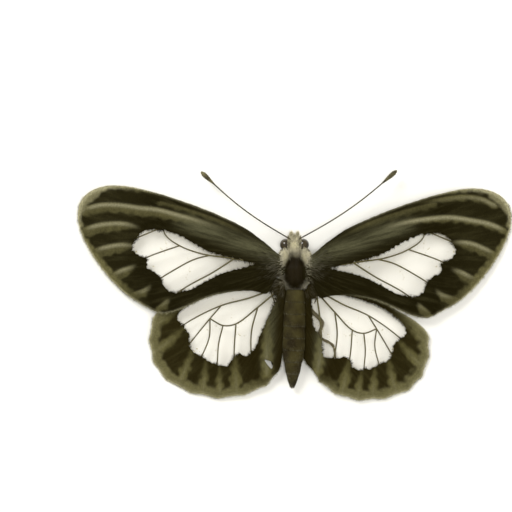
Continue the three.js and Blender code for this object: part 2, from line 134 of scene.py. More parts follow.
# The pale rays of the forewings, which differ a little from side to side: each ray's line as [out, fore]
# from its inner end, how wide its band is and how bright its crest is, a painted highlight on pale scales.
FORE_RAYS = {
    "left": (
        (
            [
                [14, 8.3], [20.3, 10.9], [27.2, 12.9], [31.5, 14.0], [35.8, 14.5], [40.1, 15.1], [44.5, 15.2],
                [48.6, 14.4],
            ],
            1.8, 0.95,
        ),
        (
            [[34.5, 9.6], [36.2, 10.1], [38.7, 10.7], [40.8, 10.9], [43.3, 10.8], [45.5, 10.5], [48.8, 9.5]],
            2.0, 0.9,
        ),
        ([[35.5, 5.4], [38.7, 5.95], [40.8, 5.9], [43.3, 5.5], [45.4, 4.9], [47.4, 4.1]], 2.1, 0.85),
        ([[35.8, 1.6], [38.0, 0.7], [40.1, 0.0], [41.9, -0.9], [44.6, -2.2]], 2.0, 0.8),
        ([[32.6, -3.0], [34.8, -4.6], [39.4, -5.9]], 1.6, 0.6),
        ([[28.6, -6.4], [31.8, -8.9]], 1.2, 0.5),
        ([[9, 6.9], [16, 10.7], [24, 13.6], [31, 15.6]], 0.5, 0.0),
    ),
    "right": (
        ([[17, 8.6], [25, 11.0], [31, 12.0], [36, 12.3], [41, 11.6], [45, 10.8], [48.6, 9.3]], 1.0, 1.0),
        ([[27, 14.6], [29.7, 15.6], [35.4, 16.7], [39.2, 17.1], [43.1, 16.6], [46.2, 15.2]], 0.9, 0.75),
        ([[35.0, 6.4], [38, 6.6], [41, 6.2], [44, 5.0], [46.4, 3.8]], 1.8, 0.85),
        ([[35.2, 0.6], [38, -0.2], [41.2, -1.8], [43.8, -3.2]], 1.8, 0.75),
        ([[31.8, -4.0], [34, -5.6], [38.6, -6.9]], 1.5, 0.6),
        ([[27.8, -7.4], [31.0, -9.9]], 1.2, 0.5),
        ([[8, 6.2], [16, 10.4], [24, 13.2], [32, 15.4]], 0.9, 0.0),
    ),
}
# The pale bands of the hindwings, as lines of the left one's plan, with half of each band's width.
HIND_BANDS = (
    ([[27, -9.5], [30, -11.3], [32.8, -12.9]], 0.9),
    ([[25.0, -12.8], [28.5, -16.0], [31.0, -17.9], [33.3, -19.6]], 1.1),
    ([[23.4, -17.8], [25.6, -23.6], [27.2, -26.9]], 1.1),
    ([[20.6, -21], [20.9, -24.5], [21.3, -29]], 1.05),
    ([[17.4, -22.5], [17.4, -29.5]], 0.95),
    ([[13.9, -20], [13.7, -24], [13.4, -29]], 1.3),
    ([[6.2, -11], [6.5, -17], [6.5, -24]], 1.25),
)
# The grey strips in the cells of the wings.
FORE_CELL = [[5, 3.4], [14, 6.8], [20, 9.2], [27, 11.6]]
HIND_CELL = [[5.2, -8], [6.4, -22]]

# How a wing bows: the power its height falls by, and the height of its tip.
WING_FALL = 1.25
TIP_HEIGHT = 0.39
# The scales fan out from a point this far behind the wing's root, and are true to size this far out.
FAN_BEHIND, FAN_TRUE = 6.0, 26.0

# How each wing is set off the mirrored left one: turn in degrees, size and shift.
WING_PIVOT = np.array([3.46, -3.46])
SETTINGS = {
    ("forewing", "left"): (0.0, 1.0, (0.0, 0.0)),
    ("hindwing", "left"): (0.0, 1.0, (0.0, 0.0)),
    ("forewing", "right"): (0.0, 1.013, (-0.8, -1.0)),
    ("hindwing", "right"): (-8.3, 0.92, (1.7, -0.9)),
}
WINGS = {"forewing": FOREWING, "hindwing": HINDWING}

# Middles and half sizes of the body's forms. The abdomen's droop and swing are in degrees.
THORAX_AT, THORAX_HALF = (0.0, -0.15, 3.0), (3.3, 4.9, 3.4)
HEAD_AT, HEAD_HALF = (-0.15, 5.75, 3.5), (1.85, 1.75, 1.75)
EYE_OUT, EYE_HALF = 2.05, (1.3, 1.35, 1.4)
ABDOMEN_AT, ABDOMEN_LONG, ABDOMEN_DROOP, ABDOMEN_SWING = (0.05, -4.5, 3.05), 22.2, 3.0, -1.7
ABDOMEN_RINGS = 8
ANTENNA_TIP = {"left": (21.6, 22.6), "right": (23.4, 22.9)}
ANTENNA_RINGS = 52
LEGS = {
    "foreleg": [[1.6, 3.4, 1.2], [2.2, 4.8, 1.4], [3.1, 4.5, 1.1], [4.0, 2.4, 0.5], [4.4, 0.2, 0.3]],
    "midleg": [[2.2, 0.2, 1.3], [5.6, -0.6, 1.8], [5.9, -3.4, 0.9], [5.2, -6.0, 0.4], [4.6, -7.6, 0.3]],
    "hindleg_left": [
        [2.0, -4.2, 0.8], [3.4, -7.2, 1.3], [5.0, -10.2, 1.9], [4.4, -15.6, 0.9], [5.6, -19.0, 0.5],
        [5.2, -22.0, 0.3],
    ],
    "hindleg_right": [
        [2.0, -4.2, 0.8], [3.4, -8.8, 1.4], [6.2, -12.1, 2.1], [5.7, -15.4, 0.9], [8.7, -17.4, 0.5],
        [9.6, -21.6, 0.3],
    ],
}
LEG_RADII = {"foreleg": [0.5, 0.36, 0.27, 0.19, 0.15], "hindleg": [0.5, 0.58, 0.54, 0.42, 0.34, 0.17]}

# What the camera sees from straight above: the middle of the view, its width and how high it stands.
VIEW_AT, VIEW_WIDE, CAMERA_HIGH = (-8.99, 3.23), 117.9648, 600.0
# Name, place, size in metres and power of each lamp.
LAMPS = (
    ("Key", (-0.32, 0.36, 0.5), 0.3, 2.7),
    ("Fill", (0.45, -0.1, 0.4), 0.4, 1.0),
    ("Overhead", (0.05, 0.0, 0.85), 0.24, 2.9),
)

# Sizes and colours a user may change


def linear(hex_colour):
    """An sRGB hex colour as linear red, green and blue."""
    parts = [int(hex_colour[i : i + 2], 16) / 255 for i in (1, 3, 5)]
    return tuple(c / 12.92 if c <= 0.04045 else ((c + 0.055) / 1.055) ** 2.4 for c in parts)


def length(name, description, millimetres):
    """A length a user may change."""
    return FloatProperty(
        name=name, description=description, default=millimetres * MM, min=0.0, precision=5,
        subtype="DISTANCE", unit="LENGTH",
    )


def swatch(name, description, hex_colour):
    """A colour a user may change."""
    return FloatVectorProperty(
        name=name, description=description, default=linear(hex_colour), min=0.0, max=1.0, size=3,
        subtype="COLOR",
    )


class WingSizes(bpy.types.PropertyGroup):
    cell: length("Mesh Cell", "Side of the even triangles that make up a wing", 0.27)
    scaled: length("Scaled Thickness", "Thickness of the wing where scales cover it", 0.2)
    clear: length("Clear Thickness", "Thickness of the bare membrane in the windows", 0.09)
    vein_root: length("Vein Radius at Root", "Radius of a main vein where it leaves the body", 0.21)
    vein_tip: length("Vein Radius at Margin", "Radius of a vein where it ends", 0.11)
    vein_rise: length("Vein Rise", "How far the membrane lifts to meet a vein", 0.14)
    fringe: length("Fringe Length", "Length of the hairs along the wing's margin", 0.4)
    fringe_spacing: length("Fringe Spacing", "Distance between two hairs of the fringe", 0.11)


class CoatSizes(bpy.types.PropertyGroup):
    width: length("Hair Width", "Width of a body hair at its root", 0.07)
    thorax: length("Thorax Hair", "Length of the hair on the thorax", 0.95)
    head: length("Head Hair", "Length of the hair on the head", 0.6)
    abdomen: length("Abdomen Hair", "Length of the hair-like scales on the abdomen", 0.42)
    wing_base: length("Wing Base Hair", "Length of the hair over the roots of the wings", 1.5)
    density: FloatProperty(
        name="Hairs per Square Millimetre", description="How thick the coat is", default=34.0, min=0.0,
    )
    seed: IntProperty(name="Seed", description="Where the hairs stand and how they lean", default=7)


class SpecimenColours(bpy.types.PropertyGroup):
    fore_dark: swatch("Forewing Scales", "The dark of the forewings", "#1a1605")
    fore_mid: swatch("Forewing Bands", "The paler bands beside the forewing's veins", "#625d3b")
    hind_dark: swatch("Hindwing Scales", "The dark of the hindwings", "#211b06")
    hind_mid: swatch("Hindwing Bands", "The paler bands along the hindwing's veins", "#5f5a36")
    cell: swatch("Cell Scales", "Grey scales in the cell of the forewing", "#5c5a41")
    ray: swatch("Ray Scales and Highlight", "The palest scales, on the crests of the veins", "#8f8a6d")
    # The ray colour paints the vein crests: pale scales with a painted highlight on them.
    edge: swatch("Fringe", "The pale hairs of the fringe", "#c4be98")
    membrane: swatch("Clear Membrane", "The tint of the bare membrane", "#d6c99c")
    vein: swatch("Vein", "The chitin of the veins in the windows", "#41381e")
    pale_hair: swatch("Pale Hair", "The ring of hair round the thorax, the face and the palps", "#f0e8c8")
    grey_hair: swatch("Grey Hair", "The collar and the head", "#aaa383")
    dark_hair: swatch("Dark Hair", "The middle of the thorax and the abdomen", "#211a06")
    cuticle: swatch("Cuticle", "The hard skin under the hair", "#1d170a")
    eye: swatch("Eye", "The dome of the eye", "#382d10")
    floor: swatch("Floor", "The surface that the specimen lies on", "#f4f2ea")


# Lines and plans


def curve_at(points, closed, shares):
    """Places at shares of a smooth curve through points, the same curve as the solids follow."""
    pts = np.asarray(points, float)
    spans = len(pts) if closed else len(pts) - 1
    along = np.asarray(shares, float) * spans
    i = np.minimum(along.astype(int), spans - 1)
    w = (along - i)[:, None]
    if closed:
        p0, p1, p2, p3 = (pts[(i + k) % len(pts)] for k in (-1, 0, 1, 2))
    else:
        padded = np.vstack([2 * pts[0] - pts[1], pts, 2 * pts[-1] - pts[-2]])
        p0, p1, p2, p3 = (padded[i + k] for k in range(4))
    spacing = [np.sum((b - a) ** 2, axis=1, keepdims=True) ** 0.25 for a, b in ((p0, p1), (p1, p2), (p2, p3))]
    d0, d1, d2 = (np.maximum(d, 1e-4) for d in spacing)
    t1 = ((p1 - p0) / d0 - (p2 - p0) / (d0 + d1) + (p2 - p1) / d1) * d1
    t2 = ((p2 - p1) / d1 - (p3 - p1) / (d1 + d2) + (p3 - p2) / d2) * d1
    return p1 + t1 * w + (3 * (p2 - p1) - 2 * t1 - t2) * w**2 + (2 * (p1 - p2) + t1 + t2) * w**3


def evened(points, spacing, closed):
    """The same line with its points an even distance apart."""
    line = np.vstack([points, points[:1]]) if closed else np.asarray(points, float)
    far = np.concatenate([[0], np.cumsum(np.linalg.norm(np.diff(line, axis=0), axis=1))])
    count = max(3, round(far[-1] / spacing))
    at = np.linspace(0, far[-1], count + 1)
    if closed:
        at = at[:-1]
    return np.column_stack([np.interp(at, far, line[:, k]) for k in range(line.shape[1])])


def smooth_line(points, steps=60):
    """A smooth open curve through points, in steps of about 0.7 mm."""
    return evened(curve_at(points, False, np.linspace(0, 1, steps)), 0.7, False)


def smooth_ring(points, steps, spacing):
    """A smooth closed curve through points, with its own points an even distance apart."""
    return evened(curve_at(points, True, np.arange(steps) / steps), spacing, True)


def leftward(ring):
    """The way to the left of a closed line, at each of its points."""
    along = np.roll(ring, -1, axis=0) - np.roll(ring, 1, axis=0)
    along /= np.linalg.norm(along, axis=1, keepdims=True)
    return np.column_stack([-along[:, 1], along[:, 0]])


def inside(points, ring):
    """Which points lie inside a closed plan."""
    x, y = points[:, 0], points[:, 1]
    within = np.zeros(len(points), bool)
    for (ax, ay), (bx, by) in zip(ring, np.roll(ring, -1, axis=0)):
        if ay != by:
            within ^= ((ay > y) != (by > y)) & (x < (bx - ax) * (y - ay) / (by - ay) + ax)
    return within


def gap_to(points, line, closed=False):
    """How far each point is from a line."""
    ends = np.roll(line, -1, axis=0) if closed else line[1:]
    best = np.full(len(points), np.inf)
    for a, b in zip(line, ends):
        ab = b - a
        t = np.clip((points - a) @ ab / max(ab @ ab, 1e-12), 0, 1)
        best = np.minimum(best, np.linalg.norm(points - a - t[:, None] * ab, axis=1))
    return best


def across(points, line):
    """How far each point is to the left of a line, or to the right of it where negative."""
    best, side = np.full(len(points), np.inf), np.ones(len(points))
    for a, b in zip(line, line[1:]):
        ab, ap = b - a, points - a
        t = np.clip(ap @ ab / max(ab @ ab, 1e-12), 0, 1)
        far = np.linalg.norm(ap - t[:, None] * ab, axis=1)
        nearer = far < best
        side = np.where(nearer, np.sign(ab[0] * ap[:, 1] - ab[1] * ap[:, 0]), side)
        best = np.where(nearer, far, best)
    return best * side


def share_along(points, line):
    """How far along a line each point lies: 0 beside its start, 1 beside its end."""
    way = line[-1] - line[0]
    return (points - line[0]) @ way / (way @ way)


def eased(value, low, high):
    """0 below low, 1 above high and a smooth rise between."""
    t = np.clip((value - low) / (high - low), 0, 1)
    return t * t * (3 - 2 * t)


def wobble(points, size, seed):
    """A smooth, unrepeated wobble at each point, mostly between -1 and 1."""
    rng = np.random.default_rng(seed)
    total = np.zeros(len(points))
    for _ in range(7):
        heading = rng.normal(size=points.shape[1])
        heading *= rng.uniform(0.5, 1.4) * 2 * math.pi / size / np.linalg.norm(heading)
        total += np.sin(points @ heading + rng.uniform(0, 2 * math.pi))
    return total / 4


def placed(points, kind, side):
    """Plan points of the left wing, set for one wing of the specimen."""
    turn, size, shift = SETTINGS[kind, side]
    c, s = math.cos(math.radians(turn)), math.sin(math.radians(turn))
    local = np.asarray(points, float) - WING_PIVOT
    return (local @ np.array([[c, s], [-s, c]])) * size + WING_PIVOT + shift


def plan_of(kind, side, key):
    """One of a wing's closed plans, set in place."""
    own = RIGHT_HINDWING if (kind, side) == ("hindwing", "right") else WINGS[kind]
    return placed(own[key], kind, side)


def abdomen_width(share):
    """Half the abdomen's width at shares of its length."""
    swell = 2.2 + 0.6 * np.sin(math.pi * np.clip(share * 1.25, 0, 1) ** 0.8)
    fuller = 0.95 + 0.13 * np.sin(math.pi * np.clip((share - 0.42) / 0.55, 0, 1))
    return fuller * swell * np.sqrt(np.maximum(0, 1 - np.clip((share - 0.45) / 0.56, 0, 1) ** 2.6))


def margin(kind, side, spacing):
    """The wing's outline, and the way out of the wing at each of its points."""
    shares = np.arange(900) / 900
    line = curve_at(plan_of(kind, side, "plan"), True, shares)
    depth = 0.05 * wobble(line, 1.6, 3)
    if WINGS[kind]["scallops"]:
        start, end, count = WINGS[kind]["scallops"]
        on = (shares > start) & (shares < end)
        phase = (shares - start) / (end - start) * count
        depth = depth + np.where(on, SCALLOP_DEPTH * np.abs(np.sin(math.pi * phase)), 0)
    line = line - leftward(line) * depth[:, None]
    if kind == "hindwing":
        # The inner margin lies against the abdomen.
        back = (ABDOMEN_AT[1] - line[:, 1]) / ABDOMEN_LONG
        middle = SIGNS[side] * (ABDOMEN_AT[0] + back * ABDOMEN_LONG * math.sin(math.radians(ABDOMEN_SWING)))
        side_of_it = middle + abdomen_width(np.clip(back, 0, 1)) - 0.16
        beside = eased(back, -0.02, 0.04) * (1 - eased(back, 0.62, 0.7))
        beside *= 1 - eased(line[:, 0] - side_of_it, 0.6, 1.4)
        line[:, 0] += beside * (side_of_it - line[:, 0])
    line = evened(line, spacing, True)
    return line, leftward(line)


def root_gap(kind, plan):
    """How far each place of a wing is from the wing's root."""
    out, fore, _ = WINGS[kind]["root"]
    return np.hypot(plan[:, 0] - out, plan[:, 1] - fore)


def share_out(kind, plan):
    """How far out on a wing each place is: 0 at the root, 1 at the tip."""
    return root_gap(kind, plan) / WINGS[kind]["reach"]


def bow_height(kind, plan):
    """Height of the middle of a wing: it bows down from the root to the surface."""
    high = WINGS[kind]["root"][2]
    return TIP_HEIGHT + (high - TIP_HEIGHT) * (1 - share_out(kind, plan) ** WING_FALL)


def raised(side, plan, high):
    """Plan places, or ways, of the left wing with their heights, on one side of the body."""
    return np.column_stack([SIGNS[side] * plan[:, 0], plan[:, 1], high + np.zeros(len(plan))])


# Closed forms


def skinned(rings, first, last):
    """A closed form from rings of points and a single point at each end."""
    rows, sides = rings.shape[:2]
    points = np.vstack([rings.reshape(-1, 3), first, last])
    faces = []
    for j in range(sides):
        k = (j + 1) % sides
        faces.append((rows * sides, k, j))
        for i in range(0, (rows - 1) * sides, sides):
            faces.append((i + j, i + k, i + sides + k, i + sides + j))
        faces.append(((rows - 1) * sides + j, (rows - 1) * sides + k, rows * sides + 1))
    return points, faces


def egg(at, half, around=48, rows=32, shape=None):
    """A rounded form whose poles point fore and aft. Shape gives how far each place swells."""
    tilt = np.linspace(0, math.pi, rows + 1)[1:-1, None]
    turn = np.arange(around)[None, :] * 2 * math.pi / around
    unit = np.stack([np.sin(tilt) * np.sin(turn), -np.cos(tilt) + 0 * turn, np.sin(tilt) * np.cos(turn)], -1)
    unit = np.concatenate([unit.reshape(-1, 3), [[0, -1, 0], [0, 1, 0]]])
    swell = 1 + (shape(unit) if shape else 0 * unit[:, 0])
    points = np.array(at) + unit * np.array(half) * swell[:, None]
    rings = points[:-2].reshape(rows - 1, around, 3)
    return skinned(rings, points[-2], points[-1])


def swept(path, radii, sides=12, flat=1.0):
    """A tube along a path, rounded off at its ends."""
    path, radii = np.asarray(path, float), np.asarray(radii, float)
    along = np.gradient(path, axis=0)
    along /= np.linalg.norm(along, axis=1, keepdims=True)
    up = np.array([0.0, 0.0, 1.0]) if abs(along[0, 2]) < 0.9 else np.array([1.0, 0.0, 0.0])
    turn = np.arange(sides) * 2 * math.pi / sides
    rings = []
    for place, way, radius in zip(path, along, radii):
        up = up - (up @ way) * way
        up /= np.linalg.norm(up)
        side = np.cross(way, up)
        rings.append(place + radius * (np.outer(np.cos(turn) * flat, up) + np.outer(np.sin(turn), side)))
    first = path[0] - along[0] * radii[0] * 0.6
    last = path[-1] + along[-1] * radii[-1] * 0.6
    return skinned(np.array(rings), first, last)


def store(mesh, notes):
    """Keeps notes on a mesh: a number or a way for each of its points."""
    for key, values in sorted(notes.items()):
        wide = np.ndim(values) == 2
        layer = mesh.attributes.new(key, "FLOAT_VECTOR" if wide else "FLOAT", "POINT")
        layer.data.foreach_set("vector" if wide else "value", np.asarray(values, np.float32).ravel())


def mesh_from(name, parts):
    """One mesh from parts, each (points, faces, notes). A note called slot is the number of the
    material of each face, or of all of them."""
    points, faces, slots, base = [], [], [], 0
    for places, polygons, notes in parts:
        points.append(places)
        faces += [tuple(int(v) + base for v in polygon) for polygon in polygons]
        slots.append(np.broadcast_to(notes.get("slot", 0), len(polygons)))
        base += len(places)
    mesh = bpy.data.meshes.new(name)
    mesh.from_pydata(np.vstack(points) * MM, [], faces)
    mesh.polygons.foreach_set("material_index", np.concatenate(slots).astype(np.int32))
    mesh.polygons.foreach_set("use_smooth", np.ones(len(faces), bool))
    keys = parts[0][2].keys() - {"slot"}
    store(mesh, {key: np.concatenate([notes[key] for _, _, notes in parts]) for key in keys})
    mesh.update()
    return mesh


def piece(name, mesh, materials, replaces=()):
    """A finished piece of the specimen. It rides on the one body."""
    obj = bpy.data.objects.new(name, mesh)
    bpy.context.collection.objects.link(obj)
    for material in materials:
        mesh.materials.append(material)
    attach(obj, BODY)
    if replaces:
        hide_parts(*replaces)
    return obj


# Nodes and materials


def add(tree, kind, inputs=None, **settings):
    """A node with its settings. Inputs, by name or number, are values, sockets to link from, or nodes
    to link from by the first output in use. A colour is given as red, green and blue."""
    node = tree.nodes.new(kind)
    for key, value in settings.items():
        setattr(node, key, value)
    for key, value in (inputs or {}).items():
        socket = node.inputs[key]
        if isinstance(value, bpy.types.Node):
            value = next(output for output in value.outputs if output.enabled)
        if isinstance(value, bpy.types.NodeSocket):
            tree.links.new(value, socket)
        else:
            socket.default_value = (*value, 1.0) if socket.type == "RGBA" else value
    return node


def blank(name):
    """A new material and its tree, still empty."""
    material = bpy.data.materials.new(name)
    material.use_nodes = True
    material.node_tree.nodes.clear()
    return material, material.node_tree


def scaled_membrane(name, dark, mid, colours):
    """Wing scales: flat overlapping scales in rows. They swallow light, so the dark is deep and matt; the
    crests of the veins carry a painted highlight on their pale scales, and rubbed places show paler in fine
    streaks."""
    material, tree = blank(name)
    fan = add(tree, "ShaderNodeUVMap", uv_map="Fan")
    along = add(tree, "ShaderNodeMapping", {"Vector": fan, "Scale": (1.3, 0.13, 1)})
    streak = add(tree, "ShaderNodeTexNoise", {"Vector": along, "Scale": 1.0, "Detail": 6.0, "Roughness": 0.6})
    mottle = add(tree, "ShaderNodeTexNoise", {"Vector": fan, "Scale": 0.9, "Detail": 4.0, "Roughness": 0.65})
    # Rows of scales. Real ones are about 0.1 mm long; they are drawn at 0.3 mm so that they show.
    rows = add(tree, "ShaderNodeMapping", {"Vector": fan, "Scale": (6.5, 3.4, 1)})
    scales = add(tree, "ShaderNodeTexVoronoi", {"Vector": rows, "Scale": 1.0, "Randomness": 0.65})
    grain = add(tree, "ShaderNodeTexNoise", {"Vector": fan, "Scale": 3.4, "Detail": 2.0})

    faint = add(tree, "ShaderNodeMapRange", {0: streak, 1: 0.48, 2: 0.78, 3: 0.0, 4: 0.16})
    base = add(tree, "ShaderNodeMix", {0: faint, 6: dark, 7: mid}, data_type="RGBA")
    # Each marking shows as strongly as the mesh says, broken up by a texture between two shares.
    for marking, texture, least, most, colour in (
        ("band", mottle, 0.7, 1.05, mid),
        ("cell", streak, 0.35, 1.0, colours.cell),
        # The crests are pale scales with a painted highlight on them.
        ("crest_and_highlight", grain, 0.75, 1.05, colours.ray),
        ("edge", grain, 0.3, 1.2, colours.edge),
    ):
        strength = add(tree, "ShaderNodeAttribute", attribute_name=marking).outputs["Fac"]
        broken = add(tree, "ShaderNodeMapRange", {0: texture, 1: 0.32, 2: 0.62, 3: least, 4: most})
        share = add(tree, "ShaderNodeMath", {0: broken, 1: strength}, operation="MULTIPLY", use_clamp=True)
        base = add(tree, "ShaderNodeMix", {0: share, 6: base, 7: colour}, data_type="RGBA")
    # Each drawn scale is darker towards its rim: painted shade where the scales overlap.
    shade = add(tree, "ShaderNodeMapRange", {0: scales, 1: 0.0, 2: 0.8, 3: 1.15, 4: 0.72})
    relief = add(tree, "ShaderNodeMath", {0: scales, 1: streak}, operation="ADD")
    base = add(tree, "ShaderNodeMix", {0: 1.0, 6: base, 7: shade}, data_type="RGBA", blend_type="MULTIPLY")
    shader = add(tree, "ShaderNodeBsdfPrincipled", {
        "Base Color": base,
        "Roughness": add(tree, "ShaderNodeMapRange", {0: streak, 3: 0.85, 4: 0.6}),
        "Normal": add(tree, "ShaderNodeBump", {"Height": relief, "Distance": 0.00012, "Strength": 0.5}),
        "Specular IOR Level": 0.03,
    })
    add(tree, "ShaderNodeOutputMaterial", {"Surface": shader})
    return material


def clear_membrane(colours):
    """Bare wing membrane: thin clear chitin. It lets the surface show through and shines at its creases."""
    material, tree = blank("Clear wing membrane")
    fan = add(tree, "ShaderNodeUVMap", uv_map="Fan")
    creases = add(tree, "ShaderNodeTexNoise", {"Vector": fan, "Scale": 0.9, "Detail": 4.0, "Distortion": 0.6})
    dust = add(tree, "ShaderNodeTexNoise", {"Vector": fan, "Scale": 5.0, "Detail": 3.0})
    dust = add(tree, "ShaderNodeMapRange", {0: dust, 1: 0.5, 2: 0.8, 3: 1.0, 4: 0.6})
    tint = {0: 1.0, 6: colours.membrane, 7: dust}
    # Single scales are left on the membrane, thinly and in drifts. They are drawn 0.25 mm across.
    drifts = add(tree, "ShaderNodeTexNoise", {"Vector": fan, "Scale": 0.35, "Detail": 1.0})
    flecks = add(tree, "ShaderNodeTexVoronoi", {"Vector": fan, "Scale": 1.6})
    reach = add(tree, "ShaderNodeMapRange", {0: drifts, 1: 0.45, 2: 0.75, 3: 0.0, 4: 0.28})
    fleck = add(tree, "ShaderNodeMath", {0: flecks, 1: reach}, operation="LESS_THAN")
    shader = add(tree, "ShaderNodeBsdfPrincipled", {
        "Base Color": add(tree, "ShaderNodeMix", tint, data_type="RGBA", blend_type="MULTIPLY"),
        "Alpha": add(tree, "ShaderNodeMapRange", {0: fleck, 3: 0.055, 4: 0.6}),
        "Normal": add(tree, "ShaderNodeBump", {"Height": creases, "Distance": 0.0004, "Strength": 0.6}),
        "Roughness": 0.24, "IOR": 1.56, "Specular IOR Level": 0.3,
    })
    add(tree, "ShaderNodeOutputMaterial", {"Surface": shader})
    return material


def vein_chitin(colours):
    """Bare wing veins: tubes of hard brown chitin with a satin shine."""
    material, tree = blank("Vein chitin")
    spot = add(tree, "ShaderNodeTexCoord").outputs["Object"]
    mottle = add(tree, "ShaderNodeTexNoise", {"Vector": spot, "Scale": 1400.0, "Detail": 3.0})
    base = {0: mottle, 6: colours.vein, 7: colours.fore_mid}
    shader = add(tree, "ShaderNodeBsdfPrincipled", {
        "Base Color": add(tree, "ShaderNodeMix", base, data_type="RGBA"),
        "Normal": add(tree, "ShaderNodeBump", {"Height": mottle, "Distance": 0.00006, "Strength": 0.5}),
        "Roughness": 0.5, "IOR": 1.56, "Specular IOR Level": 0.3,
    })
    add(tree, "ShaderNodeOutputMaterial", {"Surface": shader})
    return material


def hair(name, dark, pale):
    """Insect hair: fine tapering bristles, darker at the root, with a soft dry sheen."""
    material, tree = blank(name)
    along, shade, tone = (
        add(tree, "ShaderNodeAttribute", attribute_name=note).outputs["Fac"]
        for note in ("along", "shade", "tone")
    )
    own = add(tree, "ShaderNodeMix", {0: tone, 6: dark, 7: pale}, data_type="RGBA")
    ends = add(tree, "ShaderNodeMapRange", {0: along, 3: 0.72, 4: 1.15})
    each = add(tree, "ShaderNodeMapRange", {0: shade, 3: 0.72, 4: 1.25})
    both = add(tree, "ShaderNodeMath", {0: ends, 1: each}, operation="MULTIPLY")
    base = add(tree, "ShaderNodeMix", {0: 1.0, 6: own, 7: both}, data_type="RGBA", blend_type="MULTIPLY")
    shader = add(tree, "ShaderNodeBsdfPrincipled", {
        "Base Color": base, "Roughness": 0.7, "Specular IOR Level": 0.03,
    })
    add(tree, "ShaderNodeOutputMaterial", {"Surface": shader})
    return material


def cuticle(name, colour, worn, roughness, grain=900.0, pale=None):
    """Hard skin of the body: brown chitin, finely pitted, with a dull satin shine. Pale scales lie on
    it where its mesh has a tone."""
    material, tree = blank(name)
    spot = add(tree, "ShaderNodeTexCoord").outputs["Object"]
    pits = add(tree, "ShaderNodeTexNoise", {"Vector": spot, "Scale": grain, "Detail": 5.0})
    large = add(tree, "ShaderNodeTexNoise", {"Vector": spot, "Scale": 320.0, "Detail": 3.0})
    share = add(tree, "ShaderNodeMapRange", {0: large, 1: 0.35, 2: 0.7})
    base = add(tree, "ShaderNodeMix", {0: share, 6: colour, 7: worn}, data_type="RGBA")
    if pale:
        tone = add(tree, "ShaderNodeAttribute", attribute_name="tone").outputs["Fac"]
        base = add(tree, "ShaderNodeMix", {0: tone, 6: base, 7: pale}, data_type="RGBA")
    shader = add(tree, "ShaderNodeBsdfPrincipled", {
        "Base Color": base,
        "Roughness": add(tree, "ShaderNodeMapRange", {0: pits, 3: roughness - 0.1, 4: roughness + 0.15}),
        "Normal": add(tree, "ShaderNodeBump", {"Height": pits, "Distance": 0.0001, "Strength": 0.5}),
        "IOR": 1.56, "Specular IOR Level": 0.12,
    })
    add(tree, "ShaderNodeOutputMaterial", {"Surface": shader})
    return material


def faceted_eye(colours):
    """Compound eye: thousands of tiny lenses. It is dark and wet-looking, with one bright highlight."""
    material, tree = blank("Faceted eye")
    spot = add(tree, "ShaderNodeTexCoord").outputs["Object"]
    # Lenses are about 0.03 mm across; they are drawn at 0.1 mm so that they show.
    lenses = add(tree, "ShaderNodeTexVoronoi", {"Vector": spot, "Scale": 9000.0, "Randomness": 0.35})
    patch = add(tree, "ShaderNodeTexNoise", {"Vector": spot, "Scale": 900.0, "Detail": 2.0})
    share = add(tree, "ShaderNodeMapRange", {0: patch, 1: 0.35, 2: 0.65, 3: 0.0, 4: 0.8})
    base = {0: share, 6: [c * 0.35 for c in colours.eye], 7: colours.eye}
    shader = add(tree, "ShaderNodeBsdfPrincipled", {
        "Base Color": add(tree, "ShaderNodeMix", base, data_type="RGBA"),
        "Normal": add(tree, "ShaderNodeBump", {"Height": lenses, "Distance": 0.00002, "Strength": 0.35}),
        "Roughness": 0.5, "Specular IOR Level": 0.05,
        "Coat Weight": 0.75, "Coat IOR": 1.8, "Coat Roughness": 0.08,
    })
    add(tree, "ShaderNodeOutputMaterial", {"Surface": shader})
    return material


def pale_floor(colours):
    """Matt board: smooth, pale and unmarked."""
    material, tree = blank("Pale matt board")
    spot = add(tree, "ShaderNodeTexCoord").outputs["Object"]
    tooth = add(tree, "ShaderNodeTexNoise", {"Vector": spot, "Scale": 900.0, "Detail": 2.0})
    shader = add(tree, "ShaderNodeBsdfPrincipled", {
        "Base Color": colours.floor, "Roughness": 0.9,
        "Normal": add(tree, "ShaderNodeBump", {"Height": tooth, "Distance": 0.00003, "Strength": 0.2}),
    })
    add(tree, "ShaderNodeOutputMaterial", {"Surface": shader})
    return material


# Hair


